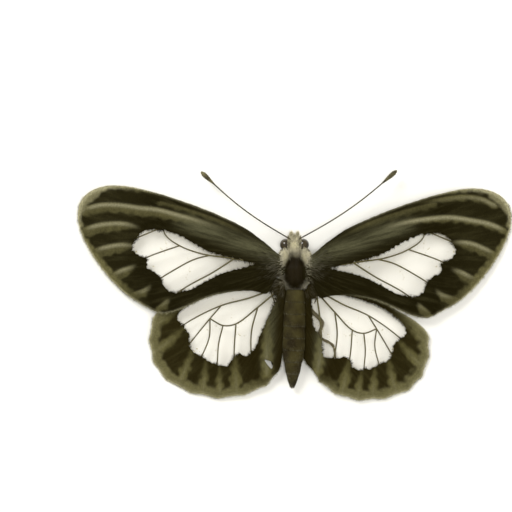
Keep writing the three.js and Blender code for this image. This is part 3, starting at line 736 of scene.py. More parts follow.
def strand_tree(name, along_edge):
    """Geometry nodes that stand tapering hairs on a surface, or in a row along an edge. The host mesh
    says which way they lie (comb), how long they are (long), how thick the coat is (dense) and how
    pale it is (tone)."""
    tree = bpy.data.node_groups.new(name, "GeometryNodeTree")
    for label, kind in (
        ("Geometry", "Geometry"), ("Amount", "Float"), ("Length", "Float"), ("Width", "Float"),
        ("Spread", "Float"), ("Splay", "Float"), ("Lift", "Float"), ("Seed", "Int"), ("Material", "Material"),
    ):
        tree.interface.new_socket(label, in_out="INPUT", socket_type="NodeSocket" + kind)
    tree.interface.new_socket("Geometry", in_out="OUTPUT", socket_type="NodeSocketGeometry")
    given = add(tree, "NodeGroupInput").outputs
    comb = add(tree, "GeometryNodeInputNamedAttribute", {"Name": "comb"}, data_type="FLOAT_VECTOR")
    long = add(tree, "GeometryNodeInputNamedAttribute", {"Name": "long"}, data_type="FLOAT")

    if along_edge:
        line = add(tree, "GeometryNodeMeshToCurve", {"Mesh": given["Geometry"]})
        spaced = {"Curve": line, "Length": given["Amount"]}
        points, aim = add(tree, "GeometryNodeResampleCurve", spaced, mode="LENGTH"), comb
    else:
        dense = add(tree, "GeometryNodeInputNamedAttribute", {"Name": "dense"}, data_type="FLOAT")
        amount = add(tree, "ShaderNodeMath", {0: given["Amount"], 1: dense}, operation="MULTIPLY")
        points = add(
            tree, "GeometryNodeDistributePointsOnFaces",
            {"Mesh": given["Geometry"], "Density": amount, "Seed": given["Seed"]}, distribute_method="RANDOM",
        )
        upright = {0: points.outputs["Normal"], "Scale": given["Lift"]}
        lifted = add(tree, "ShaderNodeVectorMath", upright, operation="SCALE")
        aim = add(tree, "ShaderNodeVectorMath", {0: comb, 1: lifted}, operation="ADD")

    either = {0: (-1, -1, -1), 1: (1, 1, 1), "Seed": given["Seed"]}
    chance = add(tree, "FunctionNodeRandomValue", either, data_type="FLOAT_VECTOR")
    astray = add(tree, "ShaderNodeVectorMath", {0: chance, "Scale": given["Splay"]}, operation="SCALE")
    aim = add(tree, "ShaderNodeVectorMath", {0: aim, 1: astray}, operation="ADD")
    spin = add(tree, "FunctionNodeRandomValue", {2: 0.0, 3: 6.28, "Seed": 5}, data_type="FLOAT")
    spun = add(tree, "FunctionNodeAxisAngleToRotation", {"Axis": (0, 0, 1), "Angle": spin})
    turned = add(tree, "FunctionNodeAlignRotationToVector", {"Rotation": spun, "Vector": aim}, axis="Z")

    # One hair, one unit long: it bends over a little and tapers to a point.
    bend = {"Resolution": 3, "Start": (0, 0, 0), "Middle": (0, 0, 0.55), "End": (0.24, 0, 0.95)}
    arc = add(tree, "GeometryNodeCurveQuadraticBezier", bend)
    share = add(tree, "GeometryNodeSplineParameter")
    along = {"Geometry": arc, "Name": "along", "Value": share}
    arc = add(tree, "GeometryNodeStoreNamedAttribute", along, data_type="FLOAT", domain="POINT")
    taper = add(tree, "ShaderNodeMapRange", {0: share, 3: 1.0, 4: 0.12})
    slim = add(tree, "ShaderNodeMath", {0: given["Width"], 1: given["Length"]}, operation="DIVIDE")
    slim = add(tree, "ShaderNodeMath", {0: slim, 1: 0.5}, operation="MULTIPLY")
    section = add(tree, "GeometryNodeCurvePrimitiveCircle", {"Resolution": 3, "Radius": slim}, mode="RADIUS")
    skin = {"Curve": arc, "Profile Curve": section, "Scale": taper, "Fill Caps": True}
    strand = add(tree, "GeometryNodeCurveToMesh", skin)

    low = add(tree, "ShaderNodeMath", {0: 1.0, 1: given["Spread"]}, operation="SUBTRACT")
    high = add(tree, "ShaderNodeMath", {0: 1.0, 1: given["Spread"]}, operation="ADD")
    size = add(tree, "FunctionNodeRandomValue", {2: low, 3: high, "Seed": 11}, data_type="FLOAT")
    size = add(tree, "ShaderNodeMath", {0: size, 1: long}, operation="MULTIPLY")
    size = add(tree, "ShaderNodeMath", {0: size, 1: given["Length"]}, operation="MULTIPLY")
    standing = {"Points": points, "Instance": strand, "Rotation": turned, "Scale": size}
    hairs = add(tree, "GeometryNodeInstanceOnPoints", standing)
    shade = add(tree, "FunctionNodeRandomValue", {2: 0.0, 3: 1.0, "Seed": 23}, data_type="FLOAT")
    shaded = {"Geometry": hairs, "Name": "shade", "Value": shade}
    hairs = add(tree, "GeometryNodeStoreNamedAttribute", shaded, data_type="FLOAT", domain="INSTANCE")
    real = add(tree, "GeometryNodeRealizeInstances", {"Geometry": hairs})
    done = add(tree, "GeometryNodeSetMaterial", {"Geometry": real, "Material": given["Material"]})
    add(tree, "NodeGroupOutput", {"Geometry": done})
    return tree


def grown(name, host_mesh, tree, slot, **sizes):
    """Hair on a host mesh as a piece of its own: the nodes' result, made a plain mesh."""
    host = bpy.data.objects.new(name + "_host", host_mesh)
    bpy.context.collection.objects.link(host)
    modifier = host.modifiers.new("Hair", "NODES")
    modifier.node_group = tree
    for item in tree.interface.items_tree:
        if item.in_out == "INPUT" and item.name != "Geometry":
            modifier[item.identifier] = sizes[item.name.lower()]
    depsgraph = bpy.context.evaluated_depsgraph_get()
    mesh = bpy.data.meshes.new_from_object(
        host.evaluated_get(depsgraph), preserve_all_data_layers=True, depsgraph=depsgraph
    )
    host.modifiers.remove(modifier)
    bpy.data.objects.remove(host)
    if not mesh.polygons:
        raise RuntimeError(f"{name} grew no hair")
    mesh.name = name
    return piece(name, mesh, ())


def edge_host(name, points, **notes):
    """A line of edges for a row of hairs."""
    mesh = bpy.data.meshes.new(name)
    mesh.from_pydata(points * MM, [(i, i + 1) for i in range(len(points) - 1)], [])
    store(mesh, notes)
    return mesh


# Wings


def wing_surface(kind, plan, gaps):
    """Height of the wing's middle with the lift of its veins and its slack between them."""
    lift = bpy.context.scene.butterfly_wings.vein_rise / MM
    slack = 0.07 * wobble(plan, 4.5, 21) * np.clip(gaps / 1.2, 0, 1)
    return bow_height(kind, plan) + lift * (np.exp(-((gaps / 0.75) ** 2)) - 0.5) + slack


def wing_lines(kind, side):
    """The wing's veins in plan, from the body outwards."""
    return [smooth_line(placed(vein, kind, side)) for vein in WINGS[kind]["veins"]]


def vein_gaps(kind, side, plan):
    """How far each place is from the nearest vein."""
    return np.min([gap_to(plan, line) for line in wing_lines(kind, side)], axis=0)


def window_ring(kind, side, spacing):
    """The edge of the clear window, ragged where the scales end, and the way into the window."""
    ring = smooth_ring(plan_of(kind, side, "window"), 600, spacing)
    way = leftward(ring)
    way = np.where(inside(ring + way * 0.3, ring)[:, None], way, -way)
    ragged = 0.16 * wobble(ring, 1.1, 5) + 0.1 * wobble(ring, 0.5, 6)
    return ring + way * ragged[:, None], way


def triangles(ring, window, tears, cell):
    """Even triangles that fill a wing's outline. Their edges follow the window, and the tears stay open."""
    low, high = ring.min(axis=0), ring.max(axis=0)
    rows = []
    for i, y in enumerate(np.arange(low[1], high[1], cell * 0.866)):
        x = np.arange(low[0] + (i % 2) * cell / 2, high[0], cell)
        rows.append(np.column_stack([x, np.full(len(x), y)]))
    grid = np.vstack(rows)
    grid = grid[inside(grid, ring)]
    lines = [ring, window, *tears]
    for line in lines:
        grid = grid[gap_to(grid, line, True) > cell * 0.45]
    edges, base = [], len(grid)
    for line in lines:
        count = len(line)
        edges += [(base + i, base + (i + 1) % count) for i in range(count)]
        base += count
    corners = [tuple(p) for p in np.vstack([grid, *lines])]
    cut = delaunay_2d_cdt(corners, edges, [], 0, 1e-5, False)
    plan = np.array([tuple(p) for p in cut[0]])
    faces = np.array([f for f in cut[2] if len(f) == 3])
    middles = plan[faces].mean(axis=1)
    kept = inside(middles, ring)
    for tear in tears:
        kept &= ~inside(middles, tear)
    used = np.unique(faces[kept])
    return plan[used], np.searchsorted(used, faces[kept])


def wing_parts(kind, side):
    """The closed membrane of a wing, with its clear window, and its veins as tubes."""
    sizes = bpy.context.scene.butterfly_wings
    cell = sizes.cell / MM
    ring, _ = margin(kind, side, cell)
    window, _ = window_ring(kind, side, cell * 0.8)
    tears = []
    if WINGS[kind]["tear"] and side == "left":
        tears.append(smooth_ring(placed(WINGS[kind]["tear"], kind, side), 60, 0.25))
    plan, faces = triangles(ring, window, tears, cell)

    # An upper and a lower sheet, joined along every open edge.
    place = raised(side, plan, wing_surface(kind, plan, vein_gaps(kind, side, plan)))
    a, b, c = (place[faces[:, k]] for k in range(3))
    down = np.cross(b - a, c - a)[:, 2] < 0
    faces[down] = faces[down][:, ::-1]
    bare_point = inside(plan, window) & (gap_to(plan, window, True) > cell * 0.3)
    half = np.where(bare_point, sizes.clear, sizes.scaled) / MM / 2
    points = np.vstack([place + [0, 0, 1] * half[:, None], place - [0, 0, 1] * half[:, None]])
    bare = inside(plan[faces].mean(axis=1), window).astype(int)
    face_at = {}
    for f, (i, j, k) in enumerate(faces):
        face_at[i, j] = face_at[j, k] = face_at[k, i] = f
    rims = [(i, j, f) for (i, j), f in face_at.items() if (j, i) not in face_at]
    count = len(plan)
    polygons = [tuple(f) for f in faces] + [tuple(f + count) for f in faces[:, ::-1]]
    polygons += [(j, i, i + count, j + count) for i, j, _ in rims]
    slots = np.concatenate([bare, bare, [bare[f] for _, _, f in rims]])
    notes = {key: np.tile(value, 2) for key, value in markings(kind, side, plan, ring).items()}
    parts = [(points, polygons, {"slot": slots, **notes})]

    for line in wing_lines(kind, side):
        line = line[inside(line, ring) & (gap_to(line, ring, True) > 0.25)]
        for tear in tears:
            torn = np.flatnonzero(gap_to(line, tear, True) < 0.3)
            line = line[: torn[0]] if len(torn) else line
        if len(line) < 4:
            continue
        radii = np.interp(share_out(kind, line), [0, 1], [sizes.vein_root / MM, sizes.vein_tip / MM])
        tube, skin = swept(raised(side, line, wing_surface(kind, line, 0.0)), radii, 8)
        tube_plan = tube[:, :2] * [SIGNS[side], 1]
        shown = inside(tube_plan, window)
        slots = np.where([shown[list(face)].all() for face in skin], 2, 0)
        parts.append((tube, skin, {"slot": slots, **markings(kind, side, tube_plan, ring)}))
    return parts


def markings(kind, side, plan, ring):
    """How strongly each marking shows at places of a wing: the pale bands beside the veins and along
    the outer margin, their bright crests with a painted highlight, the grey cell and the pale rim."""
    far, edge = share_out(kind, plan), gap_to(plan, ring, True)
    band, crest_and_highlight = np.zeros(len(plan)), np.zeros(len(plan))
    unsteady = wobble(plan, 2.2, 41)
    if kind == "forewing":
        # A band lies behind its ray, bright at the ray and fading towards the hind margin.
        for ray, wide, bright in FORE_RAYS[side]:
            line = smooth_line(ray)
            gap, begun = across(plan, line), share_along(plan, line)
            wide = (wide + 0.3 * unsteady) * eased(begun, -0.1, 0.6)
            here = eased(gap, -wide - 0.7, -wide + 0.3) * (1 - eased(gap, 0.1, 0.6)) * eased(begun, 0.0, 0.4)
            here = here**1.4 * (0.55 + 0.4 * np.exp(-np.abs(gap) / 0.9)) * (0.5 + 0.5 * bright)
            # The crest is a painted highlight along the ray, on its pale scales.
            bright = 0.85 * bright * np.exp(-(((gap + 0.18) / 0.42) ** 2)) * eased(begun, 0.05, 0.4)
            band, crest_and_highlight = np.maximum(band, here), np.maximum(crest_and_highlight, bright * eased(edge, 0.8, 3.4))
        outer = eased(far, 0.62, 0.8)
        apex = 1.3 * eased(plan[:, 0], 42.5, 46.5) * eased(plan[:, 1], 12, 15)
        border_wide = 0.5 + 1.1 * eased(-plan[:, 1], -12, 3) + apex
        strip = gap_to(plan, placed(FORE_CELL, kind, side))
        cell = 0.9 * np.exp(-((strip / 1.8) ** 2)) * (1 - eased(far, 0.4, 0.62))
        tip = eased(far, 0.72, 0.95) * eased(plan[:, 1], 8, 15)
    else:
        for points, wide in HIND_BANDS:
            line = smooth_line(placed(points, kind, side), 40)
            gap, begun = gap_to(plan, line), share_along(plan, line)
            wide = (wide + 0.35 * unsteady) * eased(begun, -0.3, 0.6)
            here = (1 - eased(gap, wide - 0.7, wide + 0.7)) ** 1.4 * (0.5 + 0.5 * eased(begun, 0.0, 0.7))
            # A faint painted highlight runs along the middle of each band, on its crest.
            bright = 0.22 * np.exp(-((gap / 0.4) ** 2)) * eased(begun, 0.2, 0.8)
            band, crest_and_highlight = np.maximum(band, here), np.maximum(crest_and_highlight, bright)
        outer = eased(far, 0.55, 0.8)
        border_wide = 2.1
        cell = 0.6 * np.exp(-((gap_to(plan, placed(HIND_CELL, kind, side)) / 1.3) ** 2))
        tip = 0.3 * outer
    inner = 0.4 * unsteady
    border = (1 - eased(edge, border_wide - 0.6 + inner, border_wide + 0.8 + inner)) * outer
    band = np.maximum(np.maximum(band, border**1.4), 0.05 * outer)
    crest_and_highlight = np.maximum(crest_and_highlight, 0.4 * tip * border)
    rim = np.exp(-((edge / 0.24) ** 2)) * (0.35 + 0.45 * outer) * eased(far, 0.15, 0.4)
    rim = np.maximum(rim, 0.5 * tip * (1 - eased(edge, 0.3, 1.1)))
    if kind == "hindwing":
        rim = rim * eased(plan[:, 0], 3.4, 6.5)
    return {"band": band, "crest_and_highlight": crest_and_highlight, "cell": cell, "edge": rim}


def fan_map(mesh, kind, side):
    """Texture places in millimetres that fan out from the wing's root: across the veins, and along."""
    out, fore, _ = WINGS[kind]["root"]
    places = np.empty(len(mesh.vertices) * 3)
    mesh.vertices.foreach_get("co", places)
    places = places.reshape(-1, 3) / MM
    x, y = places[:, 0] * SIGNS[side] - out + FAN_BEHIND, places[:, 1] - fore
    corner = np.empty(len(mesh.loops), np.int32)
    mesh.loops.foreach_get("vertex_index", corner)
    fan = np.column_stack([np.arctan2(y, x) * FAN_TRUE, np.hypot(x, y)])[corner]
    mesh.uv_layers.new(name="Fan").data.foreach_set("uv", fan.astype(np.float32).ravel())


class BUTTERFLY_OT_wings(bpy.types.Operator):
    """Makes the four wings: membranes with clear windows, and raised veins"""

    bl_idname = "butterfly.wings"
    bl_label = "Wings"

    def execute(self, context):
        colours = context.scene.butterfly_colours
        clear, chitin = clear_membrane(colours), vein_chitin(colours)
        fore, hind = (colours.fore_dark, colours.fore_mid), (colours.hind_dark, colours.hind_mid)
        scales = {
            "forewing": scaled_membrane("Black-olive forewing scales", *fore, colours),
            "hindwing": scaled_membrane("Dark olive hindwing scales", *hind, colours),
        }
        for kind, side in SETTINGS:
            node = f"{kind}_{side}"
            mesh = mesh_from(node + "_membrane", wing_parts(kind, side))
            fan_map(mesh, kind, side)
            piece(node + "_membrane", mesh, (scales[kind], clear, chitin), (node,))
        return {"FINISHED"}


class BUTTERFLY_OT_fringes(bpy.types.Operator):
    """Makes the fringe of each wing, the ragged rows of scales round its window and its basal hair"""

    bl_idname = "butterfly.fringes"
    bl_label = "Fringes"

    def execute(self, context):
        sizes, coat = context.scene.butterfly_wings, context.scene.butterfly_coat
        colours = context.scene.butterfly_colours
        row, fur = strand_tree("Row of hairs", True), strand_tree("Wing base hairs", False)
        fringe = hair("Fringe hair", colours.fore_mid, colours.edge)
        dark = hair("Dark wing hair", colours.fore_dark, colours.grey_hair)
        root_hair = hair("Wing base hair", colours.dark_hair, colours.pale_hair)
        for kind, side in SETTINGS:
            node, slot = f"{kind}_{side}", f"{kind}_scales"
            line, away = margin(kind, side, 0.3)
            start = int(np.argmin(share_out(kind, line)))
            line, away = np.roll(line, -start, axis=0), np.roll(away, -start, axis=0)
            far = share_out(kind, line)
            # The hairs are short along the front edge and dark near the body.
            long = np.where(away[:, 1] > 0.55, 0.42, 1.0) * np.clip((far - 0.12) / 0.25, 0.25, 1)
            tone = np.clip(0.45 + 0.7 * wobble(line, 1.1, 31), 0, 1) * np.clip((far - 0.2) / 0.3, 0, 1)
            tone = tone * eased(line[:, 0], 3.4, 6.5)
            places, comb = raised(side, line, bow_height(kind, line)), raised(side, away, -0.12)
            grown(
                node + "_fringe", edge_host(node + "_edge", places, comb=comb, long=long, tone=tone), row,
                slot, amount=sizes.fringe_spacing, length=sizes.fringe, width=0.07 * MM, spread=0.35,
                splay=0.3, lift=0.0, seed=coat.seed, material=fringe,
            )

            ring, way = window_ring(kind, side, 0.25)
            gaps = vein_gaps(kind, side, ring)
            # The scales reach further into the window beside the veins.
            long = 0.5 + 0.75 * np.exp(-((gaps / 0.8) ** 2)) + 0.12 * wobble(ring, 1.4, 9)
            long, tone = np.clip(long, 0.2, 2), 0 * gaps
            places, comb = raised(side, ring, wing_surface(kind, ring, gaps) + 0.06), raised(side, way, 0.02)
            grown(
                node + "_window_scales", edge_host(node + "_hem", places, comb=comb, long=long, tone=tone),
                row, slot, amount=0.09 * MM, length=0.5 * MM, width=0.1 * MM, spread=0.5, splay=0.35,
                lift=0.0, seed=coat.seed + 1, material=dark,
            )

            plan, faces = base_patch(kind, side)
            places = raised(side, plan, wing_surface(kind, plan, vein_gaps(kind, side, plan)) + 0.08)
            out, fore, _ = WINGS[kind]["root"]
            away = plan - np.array([out - 2.5, fore])
            away /= np.linalg.norm(away, axis=1, keepdims=True)
            near = root_gap(kind, plan)
            by_body = (1 - eased(plan[:, 0], 3.25, 3.65)) * eased(plan[:, 1], -3.6, -2.6)
            tone = np.maximum(0.16 - near / 30 + 0.1 * wobble(plan, 2.0, 14), 0.8 * by_body)
            notes = {
                "comb": raised(side, away, 0.0),
                "long": np.clip(1.05 - near / 14, 0.3, 1) * (1 - 0.62 * by_body),
                "dense": np.clip(1.0 - near / (11 if kind == "forewing" else 16), 0, 1) ** 1.3 + by_body,
                "tone": np.clip(tone, 0, 1),
            }
            faces = faces[:, :: SIGNS[side]]
            grown(
                node + "_base_hair", mesh_from(node + "_base", [(places, faces, notes)]), fur, slot,
                amount=15 / MM**2, length=coat.wing_base, width=coat.width, spread=0.4, splay=0.22, lift=0.28,
                seed=coat.seed + 2, material=root_hair,
            )
        return {"FINISHED"}


def base_patch(kind, side):
    """The part of a wing's plan near its root, as an even mesh."""
    fore = WINGS[kind]["root"][1]
    ring, _ = margin(kind, side, 0.5)
    window, _ = window_ring(kind, side, 0.5)
    columns, rows = 44, 88
    x, y = np.meshgrid(np.linspace(2.3, 20.0, columns), np.linspace(fore - 20, fore + 12, rows))
    plan = np.column_stack([x.ravel(), y.ravel()])
    first = (np.arange(rows - 1)[:, None] * columns + np.arange(columns - 1)).ravel()
    cells = np.column_stack([first, first + 1, first + columns + 1, first + columns])
    middles = plan[cells].mean(axis=1)
    cells = cells[inside(middles, ring) & ~inside(middles, window) & (gap_to(middles, ring, True) > 0.2)]
    used = np.unique(cells)
    return plan[used], np.searchsorted(used, cells)


# Body


def thorax_parts():
    """The thorax, flat underneath, with its neck and the lobes over the forewing roots."""

    def swell(unit):
        groove = -0.05 * np.exp(-((unit[:, 0] / 0.1) ** 2)) * np.clip(unit[:, 2], 0, 1)
        plates = 0.02 * np.sin(unit[:, 1] * 9)
        return groove + plates * np.clip(unit[:, 2] + 0.4, 0, 1) - 0.1 - 0.04 * np.clip(unit[:, 2], 0, 1)

    forms = [
        egg(THORAX_AT, THORAX_HALF, 64, 44, swell),
        egg((-0.05, 4.45, 3.5), (1.5, 1.0, 1.3), 32, 20),
        egg((-2.15, 2.5, 5.1), (0.85, 1.8, 0.8), 28, 20),
        egg((2.15, 2.5, 5.1), (0.85, 1.8, 0.8), 28, 20),
    ]
    for points, _ in forms:
        points[:, 2] = np.maximum(points[:, 2], 0.0)
    return [(points, faces, {}) for points, faces in forms]


def coat_notes(points, comb, long, dense, tone):
    """What a coat of hair needs to know at each place of its host."""
    full = np.ones(len(points))
    return {"comb": comb, "long": long * full, "dense": dense * full, "tone": tone * full}


def with_notes(parts, note):
    """Parts with what a coat needs to know added to each."""
    return [(points, faces, {**given, **note(points)}) for points, faces, given in parts]


def thorax_notes(points):
    """How the thorax's hair grows: short, dark and swept back in the middle, long and pale around it."""
    x, y, _ = (points - THORAX_AT).T
    far = np.hypot(x / THORAX_HALF[0] / 1.04, (y + 0.3) / THORAX_HALF[1] / 1.07)
    far = far + 0.04 * wobble(points, 1.3, 12)
    rim = eased(far, 0.62, 0.86)
    collar = eased(points[:, 1], 3.5, 4.3)
    comb = np.column_stack([x / 2.6, y / 9 - 0.9 + 1.7 * eased(points[:, 1], 2.8, 4.2), np.zeros(len(x))])
    tone = np.maximum(0.5 * rim + 0.25 * eased(far, 0.8, 0.95), 0.66 * collar)
    tone = np.clip(tone * (1 + 0.3 * wobble(points, 0.9, 2)), 0, 1)
    top = eased(points[:, 2], 0.5, 1.5)
    long = (0.6 + 0.5 * rim) * (1 - 0.45 * eased(points[:, 2], 5.0, 5.9))
    return coat_notes(points, comb, long, top * (1.4 + 0.44 * rim), tone)


class BUTTERFLY_OT_thorax(bpy.types.Operator):
    """Makes the thorax, with a dark back and a ring of longer pale hair"""

    bl_idname = "butterfly.thorax"
    bl_label = "Thorax"

    def execute(self, context):
        colours, coat = context.scene.butterfly_colours, context.scene.butterfly_coat
        skin = cuticle("Thorax cuticle", colours.cuticle, colours.dark_hair, 0.65, pale=colours.grey_hair)
        parts = with_notes(thorax_parts(), thorax_notes)
        piece("thorax_shell", mesh_from("thorax_shell", parts), (skin,), ("thorax",))
        grown(
            "thorax_coat", mesh_from("thorax_host", parts), strand_tree("Thorax coat", False), "thorax_hair",
            amount=coat.density / MM**2, length=coat.thorax, width=coat.width, spread=0.35, splay=0.4,
            lift=0.4, seed=coat.seed, material=hair("Thorax hair", colours.dark_hair, colours.pale_hair),
        )
        return {"FINISHED"}


def head_parts():
    """The head, with its face, its crown of tufts and the sockets of the antennae."""
    x = HEAD_AT[0]
    parts = [(*egg(HEAD_AT, tuple(h * 0.93 for h in HEAD_HALF), 48, 32), {})]
    # Tufts of the crown: how far out and fore the tip and the root are, and the root's radius.
    for tip_x, tip_y, root_x, root_y, radius in (
        (-1.5, 7.85, -0.9, 6.5, 0.36), (1.45, 7.85, 0.95, 6.5, 0.36), (0.05, 8.1, 0.0, 6.8, 0.42),
    ):
        path = np.linspace([x + root_x, root_y, 4.3], [x + tip_x, tip_y, 4.55], 8)
        parts.append((*swept(path, radius * (1 - 0.75 * np.linspace(0, 1, 8) ** 1.5), 12), {}))
    for side in (-1, 1):
        parts.append((*egg((x + side * 0.8, 6.75, 4.75), (0.36, 0.36, 0.3), 20, 12), {}))
    return parts


def palp_parts(sign):
    """A palp, bent up in front of the face."""
    x = HEAD_AT[0]
    stations = [[x + sign * 0.5, 7.1, 2.3], [x + sign * 0.72, 8.1, 2.7], [x + sign * 0.78, 8.75, 3.4]]
    path = curve_at(stations, False, np.linspace(0, 1, 22))
    radii = np.interp(np.linspace(0, 1, 22), [0, 0.45, 0.75, 1], [0.26, 0.36, 0.26, 0.08])
    return [(*swept(path, radii, 16), {})]


class BUTTERFLY_OT_head(bpy.types.Operator):
    """Makes the head with its eyes, palps and coiled tongue"""

    bl_idname = "butterfly.head"
    bl_label = "Head"

    def execute(self, context):
        colours, coat = context.scene.butterfly_colours, context.scene.butterfly_coat
        skin = cuticle("Head cuticle", colours.cuticle, colours.dark_hair, 0.65, pale=colours.grey_hair)
        fur = strand_tree("Head coat", False)
        pale = hair("Face hair", colours.grey_hair, colours.pale_hair)

        def note(points):
            x, y, _ = (points - HEAD_AT).T
            comb = np.column_stack([x * 0.2, 0.9 * np.tanh(y), np.zeros(len(x))])
            front = eased(points[:, 1], 5.6, 7.4)
            crown = np.exp(-((x / 0.9) ** 2) - (((points[:, 1] - 5.8) / 1.1) ** 2))
            tone = np.clip(0.24 + 1.15 * crown + 0.12 * wobble(points, 1.0, 4), 0, 1)
            shy = 1 - 0.6 * np.exp(-(((np.abs(x) - 1.7) / 0.5) ** 2))
            return coat_notes(points, comb, (0.7 + 0.4 * front) * shy, 2.2, tone)

        parts = with_notes(head_parts(), note)
        piece("head_capsule", mesh_from("head_capsule", parts), (skin,), ("head",))
        grown(
            "head_coat", mesh_from("head_host", parts), fur, "grey_hair", amount=coat.density / MM**2,
            length=coat.head, width=coat.width * 0.9, spread=0.35, splay=0.35, lift=0.5, seed=coat.seed,
            material=pale,
        )

        eye, row = faceted_eye(colours), strand_tree("Orbit scales", True)
        orbit = hair("Orbit scales", colours.grey_hair, colours.pale_hair)
        for side, sign in SIGNS.items():
            middle = (HEAD_AT[0] + sign * EYE_OUT, 5.85, 3.75)
            mesh = mesh_from(f"eye_{side}_dome", [(*egg(middle, EYE_HALF, 72, 48), {})])
            piece(f"eye_{side}_dome", mesh, (eye,), (f"eye_{side}",))
            turn = np.linspace(0, 2 * math.pi, 61)
            even = np.ones(len(turn))
            comb = np.column_stack([sign * 0.35 * even, np.cos(turn), np.sin(turn)])
            ring = np.array(middle) + [-sign * 0.62, 0, 0] + comb * [0, 1.2, 1.24]
            host = edge_host(f"orbit_{side}", ring, comb=comb, long=even, tone=0.6 * even)
            grown(
                f"eye_{side}_orbit", host, row, "grey_hair", amount=0.035 * MM, length=0.34 * MM,
                width=0.07 * MM, spread=0.3, splay=0.35, lift=0.0, seed=coat.seed, material=orbit,
            )

            parts = with_notes(
                palp_parts(sign),
                lambda points: coat_notes(points, np.tile([0.0, 0.7, 0.4], (len(points), 1)), 1.0, 2.0, 0.85),
            )
            core = f"palp_{side}_core"
            piece(core, mesh_from(core, parts), (skin,), (f"palp_{side}",))
            host = mesh_from(f"palp_{side}_host", parts)
            grown(
                f"palp_{side}_coat", host, fur, "palp_hair", amount=coat.density / MM**2, length=0.5 * MM,
                width=coat.width * 0.8, spread=0.3, splay=0.3, lift=0.6, seed=coat.seed, material=pale,
            )

        share = np.linspace(0, 1, 160)
        angle = -math.pi * 0.1 + share * 1.75 * 2 * math.pi
        radius = 0.95 - 0.7 * share
        path = np.column_stack([0 * share, radius * np.sin(angle), radius * np.cos(angle)])
        path += [HEAD_AT[0], 7.15, 1.25]
        ribs = 0.1 + 0.012 * np.sin(share * 160 * math.pi / 2)
        tongue = cuticle("Tongue chitin", linear("#3a2412"), linear("#573a1e"), 0.3, 2500.0)
        mesh = mesh_from("proboscis_coil", [(*swept(path, ribs, 12), {})])
        piece("proboscis_coil", mesh, (tongue,), ("proboscis",))
        return {"FINISHED"}


def abdomen_parts():
    """The abdomen: overlapping rings that taper to the tip, a soft fold along each side."""
    sides, per_ring = 64, 14
    share = np.linspace(0, 1, ABDOMEN_RINGS * per_ring + 1)
    within = (share * ABDOMEN_RINGS) % 1.0
    within[-1] = 1.0
    lap = 0.08 * within - 0.09 * np.exp(-((within / 0.16) ** 2))
    radius = np.maximum(0.2, abdomen_width(share) + lap * np.clip(abdomen_width(share) / 2.2, 0.3, 1))
    turn = np.arange(sides) * 2 * math.pi / sides
    fold = 1 - 0.05 * np.exp(-(((np.abs(np.sin(turn)) - 1) / 0.05) ** 2))
    sideways = radius[:, None] * np.sin(turn) * fold
    upward = radius[:, None] * np.cos(turn) * fold * 0.96
    along = (share * ABDOMEN_LONG)[:, None] + 0 * turn
    local = np.stack([sideways, along, upward], -1)
    droop, swing = math.radians(ABDOMEN_DROOP), math.radians(ABDOMEN_SWING)
    axis = np.array([math.sin(swing), -math.cos(swing) * math.cos(droop), -math.sin(droop)])
    side = np.array([-math.cos(swing), -math.sin(swing), 0.0])
    ways = np.vstack([side, axis, np.cross(side, axis)])
    places = (local.reshape(-1, 3) @ ways + np.array(ABDOMEN_AT)).reshape(len(share), sides, 3)
    # Its underside lies on the surface.
    places[:, :, 2] = np.maximum(places[:, :, 2], 0.0)
    first = places[0].mean(axis=0)
    last = places[-1].mean(axis=0) + axis * 0.12
    return [(*skinned(places[:, ::-1], first, last), {})]


class BUTTERFLY_OT_abdomen(bpy.types.Operator):
    """Makes the abdomen, with its rings and its short coat"""

    bl_idname = "butterfly.abdomen"
    bl_label = "Abdomen"

    def execute(self, context):
        colours, coat = context.scene.butterfly_colours, context.scene.butterfly_coat
        skin = cuticle("Abdomen cuticle", colours.dark_hair, linear("#3f391b"), 0.7, 1500.0)
        mesh = mesh_from("abdomen_rings", abdomen_parts())
        piece("abdomen_rings", mesh, (skin,), ("abdomen",))

        def note(points):
            share = (ABDOMEN_AT[1] - points[:, 1]) / ABDOMEN_LONG
            within = (share * ABDOMEN_RINGS) % 1.0
            low = np.clip((points[:, 2] - 0.8) / 0.8, 0, 1)
            tone = np.clip(0.2 + 0.16 * wobble(points, 1.1, 8) + 0.08 * wobble(points, 0.4, 5), 0, 1)
            end = np.clip((share - 0.93) / 0.06, 0, 1)
            comb = np.tile([0.0, -1.4, 0.0], (len(points), 1))
            return coat_notes(points, comb, 0.8 + 0.5 * end + 0.3 * (within > 0.8), 1.54 * low, tone)

        host = mesh_from("abdomen_host", with_notes(abdomen_parts(), note))
        grown(
            "abdomen_coat", host, strand_tree("Abdomen coat", False), "abdomen_hair",
            amount=coat.density * 0.8 / MM**2, length=coat.abdomen, width=coat.width, spread=0.3,
            splay=0.25, lift=0.5, seed=coat.seed,
            material=hair("Abdomen hair", colours.dark_hair, colours.grey_hair),
        )
        return {"FINISHED"}


